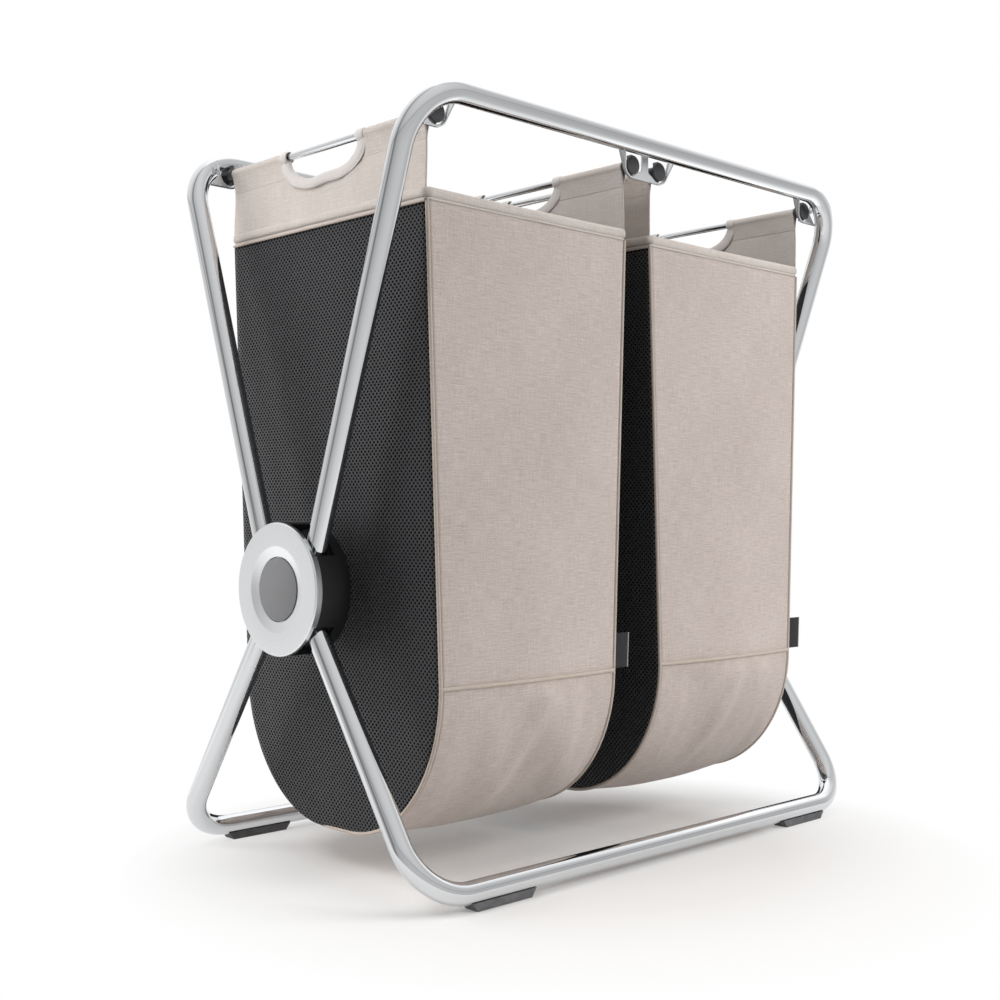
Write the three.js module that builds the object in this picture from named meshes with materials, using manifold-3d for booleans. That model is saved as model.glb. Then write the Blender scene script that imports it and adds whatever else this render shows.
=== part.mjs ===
// Folding laundry hamper: an X-frame of chromed tube on a hub at each end, with two bags hung from rods.
// Millimetres, +Z up, floor at Z 0, origin under the middle. X runs along the rails, the front is -Y.
import * as THREE from "three";
import { mergeVertices } from "three/addons/utils/BufferGeometryUtils.js";
import Module from "manifold-3d";

const wasm = await Module();
wasm.setup();

// Clearances
const seatGap = 0.3; // between pieces that touch
const cutOverrun = 4; // how far a cutter runs past what it cuts

// Rod places along X, which set the length of the frame
const bagGap = 44; // between the two inner rods
const rodSpacing = 282;
const innerRodX = bagGap / 2;
const outerRodX = innerRodX + rodSpacing;

// Tube frame: upper legs carry the top rails, lower legs the bottom rails
const tubeRadius = 11;
const tubeWall = 1.2;
const hubRoom = 40.9; // from the outer rod's axis out to the legs
const legPlaneX = outerRodX + hubRoom; // all leg centres lie this far out
const footThickness = 5.5; // pad under the tube
const pivotZ = 292.5;
const bottomRailY = 200.6; // half the depth between the bottom rails' axes
const railStep = 10.9; // the top rails stand this much nearer the middle
const topRailY = bottomRailY - railStep;
const topRailZ = 759.8;
const topBendRadius = 60;
const topLegOffset = 29; // where an upper leg's axis passes the pivot height
const bottomRailZ = footThickness + tubeRadius;
const bottomBendRadius = 57;
const bottomLegOffset = 15.7;
const foldTurn = THREE.MathUtils.degToRad(19); // each frame's swing
const boreRadius = tubeRadius - tubeWall;
const tubeSides = 14;
const boreSides = 8;
const bendSteps = 5;

// Hub
const hubRadius = 66.6;
const hubFaceOffset = 18.1; // from the leg plane out to the disc's face
const hubBackOffset = 24.9; // from the leg plane in to the housing's back
const hubFaceX = legPlaneX + hubFaceOffset;
const hubFaceChamfer = 1.2;
const hubRimThickness = 5;
const hubRimBackX = hubFaceX - hubRimThickness;
const skirtDepth = 2.4; // the rim's extra depth beside the tubes
const coverThickness = 6;
const coverBackX = hubFaceX - coverThickness;
const dishRadius = 40.6;
const dishDepth = 2;
const capRadius = 31.7;
const capThickness = 1.6;
const capGap = 0.8;
const housingBackX = legPlaneX - hubBackOffset;
const housingChamfer = 1.5;
const housingBase = 3;
const housingWall = 5;
const tubeSlotGap = 0.6; // room beside a tube in the housing wall
const slotMargin = THREE.MathUtils.degToRad(0.5);
const boltRadius = 4;
const boltHeadRadius = 7.5;
const boltHeadThickness = 2.6;
const boltSeat = 2.5; // cover material under the bolt's head
const nutRadius = 7.2;
const nutThickness = 7;
const nutSides = 6;
const bossWall = 8;
const coreRadius = 22;
const coreThickness = 8;
const webRootHalfWidth = 14;
const webTipHalfWidth = 7;
const armStart = 26; // along a leg, from the point nearest the pivot
const collarLength = 7.7;
const spigotLength = 45;
const hubSides = 24;
const armSides = 10;
const arcSteps = 4;

// Rods, their end plugs and the cradles that hold them
const rodRadius = 4;
const rodDrop = 17.6; // from the top rails' axes down to the rods' axes
const rodZ = topRailZ - rodDrop;
const plugInset = 4.7; // from a top rail's inner side to a plug's face
const plugFaceY = topRailY - tubeRadius - plugInset;
const plugFaceThickness = 2.1;
const plugFaceRadius = 10.2;
const plugFinRadius = 11.2;
const plugFinThickness = 3;
const plugFinLength = 6.8;
const plugHubRadius = 6.4;
const plugBoreFloor = 2.5;
const cradleSheet = 1.5;
const cradleWebY = plugFaceY - plugFaceThickness - seatGap; // front of the web
const cradleLap = 0.9; // how far a flange laps the rail
const flangeY = topRailY - tubeRadius + cradleLap;
const cradleFootDepth = 3; // depth of the flange below, and beside the rod
const cradleSideDepth = 5;
const cradleSideRise = 4; // from a rod's axis up to where the flange deepens
const cradleTopDrop = 2.8; // from a rail's axis down to the cradle's top
const cradleTopZ = topRailZ - cradleTopDrop;
const cradleRim = 2.7; // width of the web round a rod's seat
const cupTopHalfWidth = 20.5;
const postHalfWidth = 5.5;
const postFootDrop = 3; // from a rod's axis down to where the post widens
const postTabHalfWidth = 6.5;
const gussetReach = 26; // from an outer rod's axis along the bottom edge
const gussetHeight = 13.2;
const gussetLean = 11.5;
const cupSteps = 4;
const seatSteps = 5;

// Feet
const footInset = 95.9; // from the legs in to a foot's middle
const footCentreX = legPlaneX - footInset;
const footTopHalfLength = 42;
const footBottomHalfLength = 35.5;
const footHalfWidth = 8.8;
const footLip = 3; // how far a pad climbs the tube's sides
const footPegRadius = 3;
const footPegLength = 3.5;

// Bags
const bagHalfWidth = rodSpacing / 2;
const bagCentreX = (innerRodX + outerRodX) / 2;
const bagTaper = 17.5; // each end wall leans in by this much
const bagLowerHalfWidth = bagHalfWidth - bagTaper;
const bagInset = 14; // from a plug's face to the cloth
const bagHalfDepth = plugFaceY - bagInset;
const bagBottomZ = 43.5;
const bagRounding = 157; // height of the rounded lower part
const bagSeamZ = bagBottomZ + bagRounding;
const bagFlatHalfDepth = 20;
const bagBulge = 7;
const clothThickness = 2;
const hemHeight = 12.5;
const hemDrop = 67.2; // from a rod's axis down to the hem's top
const hemBottomZ = rodZ - hemDrop - hemHeight;
const hemThickness = 3;
const sleeveWall = 0.9;
const handleHalfWidth = 59;
const handleDrop = 27.2; // from a rod's axis down to the handle opening's lower edge
const handleBottomZ = rodZ - handleDrop;
const handleCornerRadius = 24;
const pipingRadius = 2;
const pipingSides = 5;
const tagWidth = 22;
const tagHeight = 37;
const tagThickness = 1.2;
const tagRise = 2; // above the seam
const tagBottomZ = bagSeamZ + tagRise;
const outlineSteps = 7; // along each rounded lower corner
const straightSteps = 3;
const wrapColumns = 6;
const sleeveSteps = 6;

// Finishes
const finishes = {
  tube: { color: 0xd6d8da, roughness: 0.16, metalness: 1 },
  sheet: { color: 0xcdcfd1, roughness: 0.22, metalness: 1 },
  rod: { color: 0xd9dbdc, roughness: 0.15, metalness: 1 },
  disc: { color: 0xd0d2d3, roughness: 0.38, metalness: 0.9 },
  bolt: { color: 0xa9abad, roughness: 0.35, metalness: 1 },
  cap: { color: 0x858587, roughness: 0.55, metalness: 0 },
  housing: { color: 0x1b1b1c, roughness: 0.6, metalness: 0 },
  carrier: { color: 0x232324, roughness: 0.55, metalness: 0 },
  plug: { color: 0x3d3d3f, roughness: 0.5, metalness: 0 },
  foot: { color: 0x6f6f71, roughness: 0.75, metalness: 0 },
  cloth: { color: 0xc5bab1, roughness: 0.9, metalness: 0 },
  mesh: { color: 0x4a4a4c, roughness: 0.85, metalness: 0 },
  tag: { color: 0x3c3c3e, roughness: 0.85, metalness: 0 },
};

// A piece is one closed solid with its own material
function piece(name, geometry, finish) {
  const mesh = new THREE.Mesh(geometry, new THREE.MeshStandardMaterial(finishes[finish]));
  mesh.name = name;
  return mesh;
}

// Solids to cut and join
function closed(geometry) {
  geometry.deleteAttribute("normal");
  geometry.deleteAttribute("uv");
  return mergeVertices(geometry);
}

function solid(geometry) {
  const merged = closed(geometry);
  const vertProperties = new Float32Array(merged.attributes.position.array);
  const triVerts = new Uint32Array(merged.index.array);
  return new wasm.Manifold(new wasm.Mesh({ numProp: 3, vertProperties, triVerts }));
}

function surface(body) {
  const mesh = body.getMesh();
  const geometry = new THREE.BufferGeometry();
  geometry.setAttribute("position", new THREE.BufferAttribute(new Float32Array(mesh.vertProperties), 3));
  geometry.setIndex(new THREE.BufferAttribute(new Uint32Array(mesh.triVerts), 1));
  geometry.computeVertexNormals();
  return geometry;
}

function joined(first, ...others) {
  return others.reduce((body, other) => body.add(other), first);
}

function cut(first, ...cutters) {
  return cutters.reduce((body, cutter) => body.subtract(cutter), first);
}

function circlePoints(radius, sides) {
  const points = [];
  for (let i = 0; i < sides; i++) {
    const turn = (2 * Math.PI * i) / sides;
    points.push(new THREE.Vector2(radius * Math.cos(turn), radius * Math.sin(turn)));
  }
  return points;
}

// A shape drawn in Y and Z, extruded along X between two places
function alongX(shape, fromX, toX) {
  const geometry = new THREE.ExtrudeGeometry(shape, {
    depth: toX - fromX,
    bevelEnabled: false,
    curveSegments: arcSteps,
  });
  const turn = new THREE.Matrix4();
  turn.makeBasis(new THREE.Vector3(0, 1, 0), new THREE.Vector3(0, 0, 1), new THREE.Vector3(1, 0, 0));
  geometry.applyMatrix4(turn);
  geometry.translate(fromX, 0, 0);
  return geometry;
}

// A shape drawn in X and Z, extruded along Y between two places
function alongY(shape, fromY, toY) {
  const geometry = new THREE.ExtrudeGeometry(shape, { depth: toY - fromY, bevelEnabled: false });
  const turn = new THREE.Matrix4();
  turn.makeBasis(new THREE.Vector3(1, 0, 0), new THREE.Vector3(0, 0, 1), new THREE.Vector3(0, -1, 0));
  geometry.applyMatrix4(turn);
  geometry.translate(0, toY, 0);
  return geometry;
}

// A closed profile of [radius, X] pairs, spun round the X axis
function spunRoundX(profile, sides) {
  const points = profile.map(([radius, along]) => new THREE.Vector2(radius, along));
  if (THREE.ShapeUtils.isClockWise(points)) {
    points.reverse();
  }
  points.push(points[0].clone());
  const geometry = new THREE.LatheGeometry(points, sides);
  geometry.rotateZ(-Math.PI / 2);
  return geometry;
}

// A round bar from one point to another
function bar(from, to, radius, sides) {
  const along = new THREE.Vector3().subVectors(to, from);
  const geometry = new THREE.CylinderGeometry(radius, radius, along.length(), sides);
  const up = new THREE.Vector3(0, 1, 0);
  geometry.applyQuaternion(new THREE.Quaternion().setFromUnitVectors(up, along.clone().normalize()));
  const middle = new THREE.Vector3().addVectors(from, to).multiplyScalar(0.5);
  geometry.translate(middle.x, middle.y, middle.z);
  return geometry;
}

// A thin sheet: a block whose columns, rows and two faces are put in place one point at a time
function sheet(columns, rows, place) {
  const geometry = new THREE.BoxGeometry(1, 1, 1, columns, rows, 1);
  const position = geometry.attributes.position;
  const half = 0.5;
  for (let i = 0; i < position.count; i++) {
    const column = Math.round((position.getX(i) + half) * columns);
    const row = Math.round((position.getY(i) + half) * rows);
    const face = position.getZ(i) * 2;
    const spot = place(column, row, face);
    position.setXYZ(i, spot.x, spot.y, spot.z);
  }
  return closed(geometry);
}

// A path that is stepped only at its own stations
class StationPath extends THREE.Curve {
  constructor(points, tangents) {
    super();
    this.points = points;
    this.tangents = tangents;
  }

  getPointAt(share) {
    return this.points[Math.round(share * (this.points.length - 1))].clone();
  }

  getTangentAt(share) {
    return this.tangents[Math.round(share * (this.tangents.length - 1))].clone();
  }
}

function sweep(section, path) {
  return new THREE.ExtrudeGeometry(section, { steps: path.points.length - 1, extrudePath: path });
}

// A leg's axis, seen along X: the point nearest the pivot, the way to the rail, and its distances
function legAxis(railY, railZ, offset) {
  const side = Math.sign(railY);
  const along = new THREE.Vector3(0, railY - side * offset, railZ - pivotZ);
  const reachFromOffset = along.length();
  along.normalize();
  const backToNearest = side * offset * along.y;
  const nearest = new THREE.Vector3(0, side * offset, pivotZ).addScaledVector(along, -backToNearest);
  const lean = Math.atan2(Math.abs(along.y), Math.abs(along.z));
  return { nearest, along, lean, off: offset * Math.cos(lean), reach: reachFromOffset + backToNearest };
}

function pointOnLeg(leg, distance, x) {
  return leg.nearest.clone().addScaledVector(leg.along, distance).setX(x);
}

const tubeStart = armStart + collarLength + seatGap;

// The centreline of a U-shaped tube: leg, bend, rail, bend, leg
function railPath(leg, bendRadius) {
  const points = [];
  const tangents = [];
  for (const side of [1, -1]) {
    const outward = new THREE.Vector3(side, 0, 0);
    const corner = pointOnLeg(leg, leg.reach, side * legPlaneX);
    const centre = corner.addScaledVector(outward, -bendRadius).addScaledVector(leg.along, -bendRadius);
    const stations = [[pointOnLeg(leg, tubeStart, side * legPlaneX), leg.along.clone()]];
    for (let i = 0; i <= bendSteps; i++) {
      const turn = (Math.PI / 2) * (i / bendSteps);
      const point = centre.clone().addScaledVector(outward, bendRadius * Math.cos(turn));
      point.addScaledVector(leg.along, bendRadius * Math.sin(turn));
      const tangent = leg.along.clone().multiplyScalar(Math.cos(turn));
      tangent.addScaledVector(outward, -Math.sin(turn));
      stations.push([point, tangent]);
    }
    if (side < 0) {
      stations.reverse();
    }
    for (const [point, tangent] of stations) {
      points.push(point);
      tangents.push(tangent.multiplyScalar(side));
    }
  }
  return new StationPath(points, tangents);
}

function railTube(leg, bendRadius) {
  const section = new THREE.Shape(circlePoints(tubeRadius, tubeSides));
  section.holes.push(new THREE.Path(circlePoints(boreRadius, boreSides)));
  return solid(sweep(section, railPath(leg, bendRadius)));
}

const frontTopLeg = legAxis(-topRailY, topRailZ, topLegOffset);
const rearTopLeg = legAxis(topRailY, topRailZ, topLegOffset);
const frontBottomLeg = legAxis(-bottomRailY, bottomRailZ, bottomLegOffset);
const rearBottomLeg = legAxis(bottomRailY, bottomRailZ, bottomLegOffset);

// Holes under a bottom rail for the feet's pegs
function pegHole(x, railY) {
  const from = new THREE.Vector3(x, railY, footThickness - cutOverrun);
  const to = new THREE.Vector3(x, railY, bottomRailZ - boreRadius + cutOverrun);
  return solid(bar(from, to, footPegRadius + seatGap, armSides));
}

function bottomRail(name, leg, railY) {
  const holes = [footCentreX, -footCentreX].map((x) => pegHole(x, railY));
  return piece(name, surface(cut(railTube(leg, bottomBendRadius), ...holes)), "tube");
}

function topRail(name, leg) {
  return piece(name, surface(railTube(leg, topBendRadius)), "tube");
}

// Hub, drawn at +X round the pivot; the one at -X is the same, turned half a turn
const pivotSeatX = legPlaneX + seatGap / 2; // the two cores meet on the leg plane
const coreEndX = pivotSeatX + coreThickness;
const innerCoreEndX = legPlaneX - seatGap / 2 - coreThickness;
const boltHole = boltRadius + seatGap;
const bossEndX = coreEndX + seatGap;
const headSeatX = bossEndX + boltSeat;
const recessX = headSeatX + seatGap + boltHeadThickness + seatGap;
const housingInnerRadius = hubRadius - housingWall;

function bandShape(innerRadius, outerRadius, fromAngle, toAngle) {
  const shape = new THREE.Shape();
  shape.absarc(0, 0, outerRadius, fromAngle, toAngle, false);
  shape.absarc(0, 0, innerRadius, toAngle, fromAngle, true);
  return shape;
}

// The part of the housing wall that a tube sweeps through, as angles from the vertical
function slotAngles(leg) {
  const halfSlot = tubeRadius + tubeSlotGap;
  return {
    open: leg.lean + Math.asin((leg.off + halfSlot) / housingInnerRadius) + slotMargin,
    folded: leg.lean + Math.asin((leg.off - halfSlot) / hubRadius) - foldTurn - slotMargin,
  };
}

const upperSlot = slotAngles(rearTopLeg);
const lowerSlot = slotAngles(rearBottomLeg);
const sideFrom = lowerSlot.open - Math.PI / 2; // side sectors, as angles from +Y
const sideTo = Math.PI / 2 - upperSlot.open;

function slotCutter(slot, sideways, upward) {
  const near = housingInnerRadius - cutOverrun;
  const far = (hubRadius + cutOverrun) / Math.cos((slot.open - slot.folded) / 2);
  const corners = [
    [near, slot.folded],
    [far, slot.folded],
    [far, slot.open],
    [near, slot.open],
  ];
  const points = corners.map(
    ([radius, angle]) =>
      new THREE.Vector2(sideways * radius * Math.sin(angle), upward * radius * Math.cos(angle)),
  );
  const fromX = legPlaneX - tubeRadius - tubeSlotGap;
  return solid(alongX(new THREE.Shape(points), fromX, hubFaceX));
}

function hubHousing() {
  const wallEndX = hubRimBackX - seatGap;
  const ring = spunRoundX(
    [
      [boltHole, housingBackX],
      [hubRadius - housingChamfer, housingBackX],
      [hubRadius, housingBackX + housingChamfer],
      [hubRadius, wallEndX],
      [housingInnerRadius, wallEndX],
      [housingInnerRadius, housingBackX + housingBase],
      [boltHole + bossWall, housingBackX + housingBase],
      [boltHole + bossWall, innerCoreEndX - seatGap],
      [boltHole, innerCoreEndX - seatGap],
    ],
    hubSides,
  );
  const cutters = [];
  for (const sideways of [1, -1]) {
    cutters.push(slotCutter(upperSlot, sideways, 1), slotCutter(lowerSlot, sideways, -1));
    const band = bandShape(
      housingInnerRadius - cutOverrun,
      hubRadius + cutOverrun,
      sideFrom - slotMargin,
      sideTo + slotMargin,
    );
    const step = solid(alongX(band, wallEndX - skirtDepth, wallEndX + cutOverrun));
    cutters.push(sideways > 0 ? step : step.rotate([180, 0, 0]).mirror([0, 0, 1]));
  }
  return surface(cut(solid(ring), ...cutters));
}

function hubCover() {
  const disc = spunRoundX(
    [
      [boltHole, bossEndX],
      [boltHole, headSeatX],
      [boltHeadRadius + capGap, headSeatX],
      [boltHeadRadius + capGap, recessX],
      [capRadius + capGap, recessX],
      [capRadius + capGap, hubFaceX - dishDepth],
      [dishRadius, hubFaceX],
      [hubRadius - hubFaceChamfer, hubFaceX],
      [hubRadius, hubFaceX - hubFaceChamfer],
      [hubRadius, hubRimBackX],
      [housingInnerRadius - seatGap, hubRimBackX],
      [housingInnerRadius - seatGap, coverBackX],
      [boltHole + bossWall, coverBackX],
      [boltHole + bossWall, bossEndX],
    ],
    hubSides,
  );
  const band = bandShape(housingInnerRadius + seatGap, hubRadius - seatGap, sideFrom, sideTo);
  const skirt = solid(alongX(band, hubRimBackX - skirtDepth, hubRimBackX + seatGap));
  return surface(joined(solid(disc), skirt, skirt.rotate([180, 0, 0]).mirror([0, 0, 1])));
}

function hubCap() {
  const back = recessX + seatGap;
  return spunRoundX(
    [
      [0, back],
      [capRadius, back],
      [capRadius, back + capThickness],
      [0, back + capThickness],
    ],
    hubSides,
  );
}

function pivotBolt() {
  const head = headSeatX + seatGap;
  const end = housingBackX - seatGap - nutThickness - seatGap;
  return spunRoundX(
    [
      [0, end],
      [boltRadius, end],
      [boltRadius, head],
      [boltHeadRadius, head],
      [boltHeadRadius, head + boltHeadThickness],
      [0, head + boltHeadThickness],
    ],
    armSides,
  );
}

function pivotNut() {
  const shape = new THREE.Shape(circlePoints(nutRadius, nutSides));
  shape.holes.push(new THREE.Path(circlePoints(boltHole, armSides)));
  const end = housingBackX - seatGap;
  return alongX(shape, end - nutThickness, end);
}

const spigotRadius = boreRadius * Math.cos(Math.PI / boreSides) - seatGap; // clears the bore's flats

// A frame's turning core, with a web, a collar and a spigot for each of its two tubes
function carrier(fromX, legs) {
  const toX = fromX + coreThickness;
  const parts = [];
  for (const leg of legs) {
    const tip = pointOnLeg(leg, armStart + collarLength / 4, 0).sub(new THREE.Vector3(0, 0, pivotZ));
    const across = new THREE.Vector2(-tip.z, tip.y).normalize();
    const shape = new THREE.Shape([
      across.clone().multiplyScalar(webRootHalfWidth),
      across.clone().multiplyScalar(-webRootHalfWidth),
      new THREE.Vector2(tip.y, tip.z).addScaledVector(across, -webTipHalfWidth),
      new THREE.Vector2(tip.y, tip.z).addScaledVector(across, webTipHalfWidth),
    ]);
    parts.push(solid(alongX(shape, fromX, toX)));
    const toPivot = new THREE.Vector3(0, 0, -pivotZ);
    const from = pointOnLeg(leg, armStart, legPlaneX).add(toPivot);
    const collarEnd = pointOnLeg(leg, armStart + collarLength, legPlaneX).add(toPivot);
    const spigotEnd = pointOnLeg(leg, tubeStart + spigotLength, legPlaneX).add(toPivot);
    parts.push(solid(bar(from, collarEnd, tubeRadius, armSides)));
    parts.push(solid(bar(from, spigotEnd, spigotRadius, armSides)));
  }
  const core = spunRoundX(
    [
      [boltHole, fromX],
      [coreRadius, fromX],
      [coreRadius, toX],
      [boltHole, toX],
    ],
    hubSides,
  );
  const hole = solid(alongX(new THREE.Shape(circlePoints(boltHole, hubSides)), fromX, toX));
  return surface(cut(joined(solid(core), ...parts), hole));
}

function hub(side, outerLetter, innerLetter) {
  const group = new THREE.Group();
  group.position.z = pivotZ;
  group.rotation.z = side === "right" ? 0 : Math.PI;
  const outerCore = carrier(pivotSeatX, [frontTopLeg, rearBottomLeg]);
  const innerCore = carrier(innerCoreEndX, [rearTopLeg, frontBottomLeg]);
  group.add(
    piece(`hub_cover_${side}`, hubCover(), "disc"),
    piece(`hub_cap_${side}`, hubCap(), "cap"),
    piece(`hub_housing_${side}`, hubHousing(), "housing"),
    piece(`pivot_bolt_${side}`, pivotBolt(), "bolt"),
    piece(`pivot_nut_${side}`, pivotNut(), "bolt"),
    piece(`carrier_${outerLetter}_${side}`, outerCore, "carrier"),
    piece(`carrier_${innerLetter}_${side}`, innerCore, "carrier"),
  );
  return group;
}

// Foot: a pad that hugs the underside of a bottom rail, held by a peg
function foot(name, x, railY) {
  const footTopZ = footThickness + footLip;
  const block = new THREE.Shape([
    new THREE.Vector2(x - footBottomHalfLength, 0),
    new THREE.Vector2(x + footBottomHalfLength, 0),
    new THREE.Vector2(x + footTopHalfLength, footTopZ),
    new THREE.Vector2(x - footTopHalfLength, footTopZ),
  ]);
  const pad = solid(alongY(block, railY - footHalfWidth, railY + footHalfWidth));
  const reach = footTopHalfLength + cutOverrun;
  const from = new THREE.Vector3(x - reach, railY, bottomRailZ);
  const to = new THREE.Vector3(x + reach, railY, bottomRailZ);
  const saddle = solid(bar(from, to, tubeRadius + seatGap, hubSides));
  const pegFrom = new THREE.Vector3(x, railY, footThickness / 2);
  const pegTo = new THREE.Vector3(x, railY, footThickness + footPegLength);
  const peg = solid(bar(pegFrom, pegTo, footPegRadius, armSides));
  return piece(name, surface(joined(cut(pad, saddle), peg)), "foot");
}

// Half of a cup's outline, drawn in X and Z from the bottom round to the top of its flank
const seatRadius = plugFinRadius + seatGap;
const cupRadius = seatRadius + cradleRim;
const cradleBottomZ = rodZ - cupRadius;
const cupTopRise = cradleTopZ - rodZ;
const cupTopReach = Math.hypot(cupTopHalfWidth, cupTopRise);
const flankTurn = Math.atan2(cupTopRise, cupTopHalfWidth) - Math.acos(cupRadius / cupTopReach);

function cupHalf(inset, topZ) {
  const radius = cupRadius - inset;
  const points = [];
  for (let i = 0; i <= cupSteps; i++) {
    const turn = -Math.PI / 2 + (flankTurn + Math.PI / 2) * (i / cupSteps);
    points.push([radius * Math.cos(turn), rodZ + radius * Math.sin(turn)]);
  }
  const [flankX, flankZ] = points[cupSteps];
  points.push([flankX - (topZ - flankZ) * Math.tan(flankTurn), topZ]);
  return points;
}

function cradleOutline(firstRodX, lastRodX, inset, topZ) {
  const half = cupHalf(inset, topZ);
  const left = half.slice(firstRodX === lastRodX ? 1 : 0).reverse();
  return [...left.map(([x, z]) => [firstRodX - x, z]), ...half.map(([x, z]) => [lastRodX + x, z])];
}

// The plate that fills the corner between an outer seat and the rail's bend
function gussetOutline(rodX, inset) {
  const outward = Math.sign(rodX);
  const reach = gussetReach + inset;
  return [
    [rodX, cradleBottomZ + inset],
    [rodX + outward * reach, cradleBottomZ + inset],
    [rodX + outward * (reach - gussetLean), cradleBottomZ + gussetHeight],
    [rodX, cradleBottomZ + gussetHeight],
  ];
}

function shapeOf(points) {
  return new THREE.Shape(points.map(([first, second]) => new THREE.Vector2(first, second)));
}

// The open-topped seat round a rod: one side follows the flank, the other clears the post
function seatSide(hasPost) {
  const topZ = cradleTopZ + cutOverrun;
  if (!hasPost) {
    return cupHalf(cradleRim, topZ);
  }
  const points = [];
  for (let i = 0; i <= seatSteps; i++) {
    const turn = -Math.PI / 2 + (Math.PI / 4) * (i / seatSteps);
    points.push([seatRadius * Math.cos(turn), rodZ + seatRadius * Math.sin(turn)]);
  }
  const reach = innerRodX - postHalfWidth;
  return [...points, [reach, rodZ - postFootDrop], [reach, topZ]];
}

function rodSeat(rodX, postOnLeft, postOnRight) {
  const left = seatSide(postOnLeft).slice(1).reverse();
  const right = seatSide(postOnRight);
  return shapeOf([...left.map(([x, z]) => [rodX - x, z]), ...right.map(([x, z]) => [rodX + x, z])]);
}

// A pressed cradle: a web with a flange round it, open at the top, welded to a top rail
function cradle(name, rods, side) {
  const firstRodX = rods[0];
  const lastRodX = rods[rods.length - 1];
  const webBackY = cradleWebY - cradleSheet;
  const outer = shapeOf(cradleOutline(firstRodX, lastRodX, 0, cradleTopZ));
  const inner = shapeOf(cradleOutline(firstRodX, lastRodX, cradleSheet, cradleTopZ + cutOverrun));
  const seats = rods.map((rodX) => {
    const seat = rodSeat(rodX, rodX !== firstRodX, rodX !== lastRodX);
    return solid(alongY(seat, webBackY - cutOverrun, flangeY + cutOverrun));
  });
  const slope = [
    [webBackY + cradleFootDepth, cradleBottomZ - cutOverrun],
    [flangeY + cutOverrun, cradleBottomZ - cutOverrun],
    [flangeY + cutOverrun, cradleTopZ],
    [flangeY, cradleTopZ],
    [webBackY + cradleSideDepth, rodZ + cradleSideRise],
    [webBackY + cradleFootDepth, cradleBottomZ],
  ];
  const reachX = lastRodX + gussetReach + cutOverrun;
  const startX = firstRodX - gussetReach - cutOverrun;
  const roundRail = new THREE.Shape(circlePoints(tubeRadius + seatGap, tubeSides));
  const rail = solid(sweep(roundRail, railPath(rearTopLeg, topBendRadius)));
  let body = solid(alongY(outer, webBackY, flangeY));
  let hollow = solid(alongY(inner, cradleWebY, flangeY + cutOverrun));
  if (rods.length === 1) {
    body = body.add(solid(alongY(shapeOf(gussetOutline(firstRodX, 0)), webBackY, flangeY)));
    const open = shapeOf(gussetOutline(firstRodX, cradleSheet));
    hollow = hollow.add(solid(alongY(open, cradleWebY, flangeY + cutOverrun)));
  }
  let web = cut(body, hollow, ...seats, solid(alongX(shapeOf(slope), startX, reachX)));
  if (rods.length > 1) {
    const tab = shapeOf([
      [webBackY, cradleTopZ - cradleSheet],
      [flangeY, cradleTopZ - cradleSheet],
      [flangeY, cradleTopZ],
      [webBackY, cradleTopZ],
    ]);
    web = web.add(solid(alongX(tab, -postTabHalfWidth, postTabHalfWidth)));
  }
  const whole = web.subtract(rail);
  const placed = side < 0 ? whole.rotate([0, 0, 180]) : whole;
  return piece(name, surface(placed), "sheet");
}

// A rod, and the finned plug on each of its ends
const plugHubEndY = bagHalfDepth + seatGap;
const plugBoreY = plugFaceY - plugBoreFloor;

function rod(name, x) {
  const reach = plugBoreY - seatGap;
  const from = new THREE.Vector3(x, -reach, rodZ);
  const to = new THREE.Vector3(x, reach, rodZ);
  return piece(name, closed(bar(from, to, rodRadius, armSides)), "rod");
}

function rodPlug(name, x, side) {
  const onAxis = (along) => new THREE.Vector3(0, along, 0);
  const faceBackY = plugFaceY - plugFaceThickness;
  const finStartY = faceBackY - plugFinLength;
  const face = solid(bar(onAxis(faceBackY), onAxis(plugFaceY), plugFaceRadius, tubeSides));
  const stem = solid(bar(onAxis(plugHubEndY), onAxis(faceBackY), plugHubRadius, armSides));
  const half = plugFinThickness / 2;
  const upright = shapeOf([
    [-half, -plugFinRadius],
    [half, -plugFinRadius],
    [half, plugFinRadius],
    [-half, plugFinRadius],
  ]);
  const level = shapeOf([
    [-plugFinRadius, -half],
    [plugFinRadius, -half],
    [plugFinRadius, half],
    [-plugFinRadius, half],
  ]);
  const fins = [upright, level].map((shape) => solid(alongY(shape, finStartY, faceBackY)));
  const seatRound = solid(bar(onAxis(finStartY), onAxis(faceBackY), plugFinRadius, tubeSides));
  const boreFrom = onAxis(plugHubEndY - cutOverrun);
  const bore = solid(bar(boreFrom, onAxis(plugBoreY), rodRadius + seatGap, armSides));
  const ribbed = joined(fins[0], fins[1]).intersect(seatRound);
  const plug = cut(joined(face, stem, ribbed), bore);
  const turned = side < 0 ? plug.rotate([0, 0, 180]) : plug;
  const mesh = piece(name, surface(turned), "plug");
  mesh.position.set(x, 0, rodZ);
  return mesh;
}

// Bag: half its width at a height, and the stations of its lower outline
function halfWidthAt(z) {
  const share = THREE.MathUtils.clamp((z - bagSeamZ) / (hemBottomZ - bagSeamZ), 0, 1);
  return bagLowerHalfWidth + (bagHalfWidth - bagLowerHalfWidth) * share;
}

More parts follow.
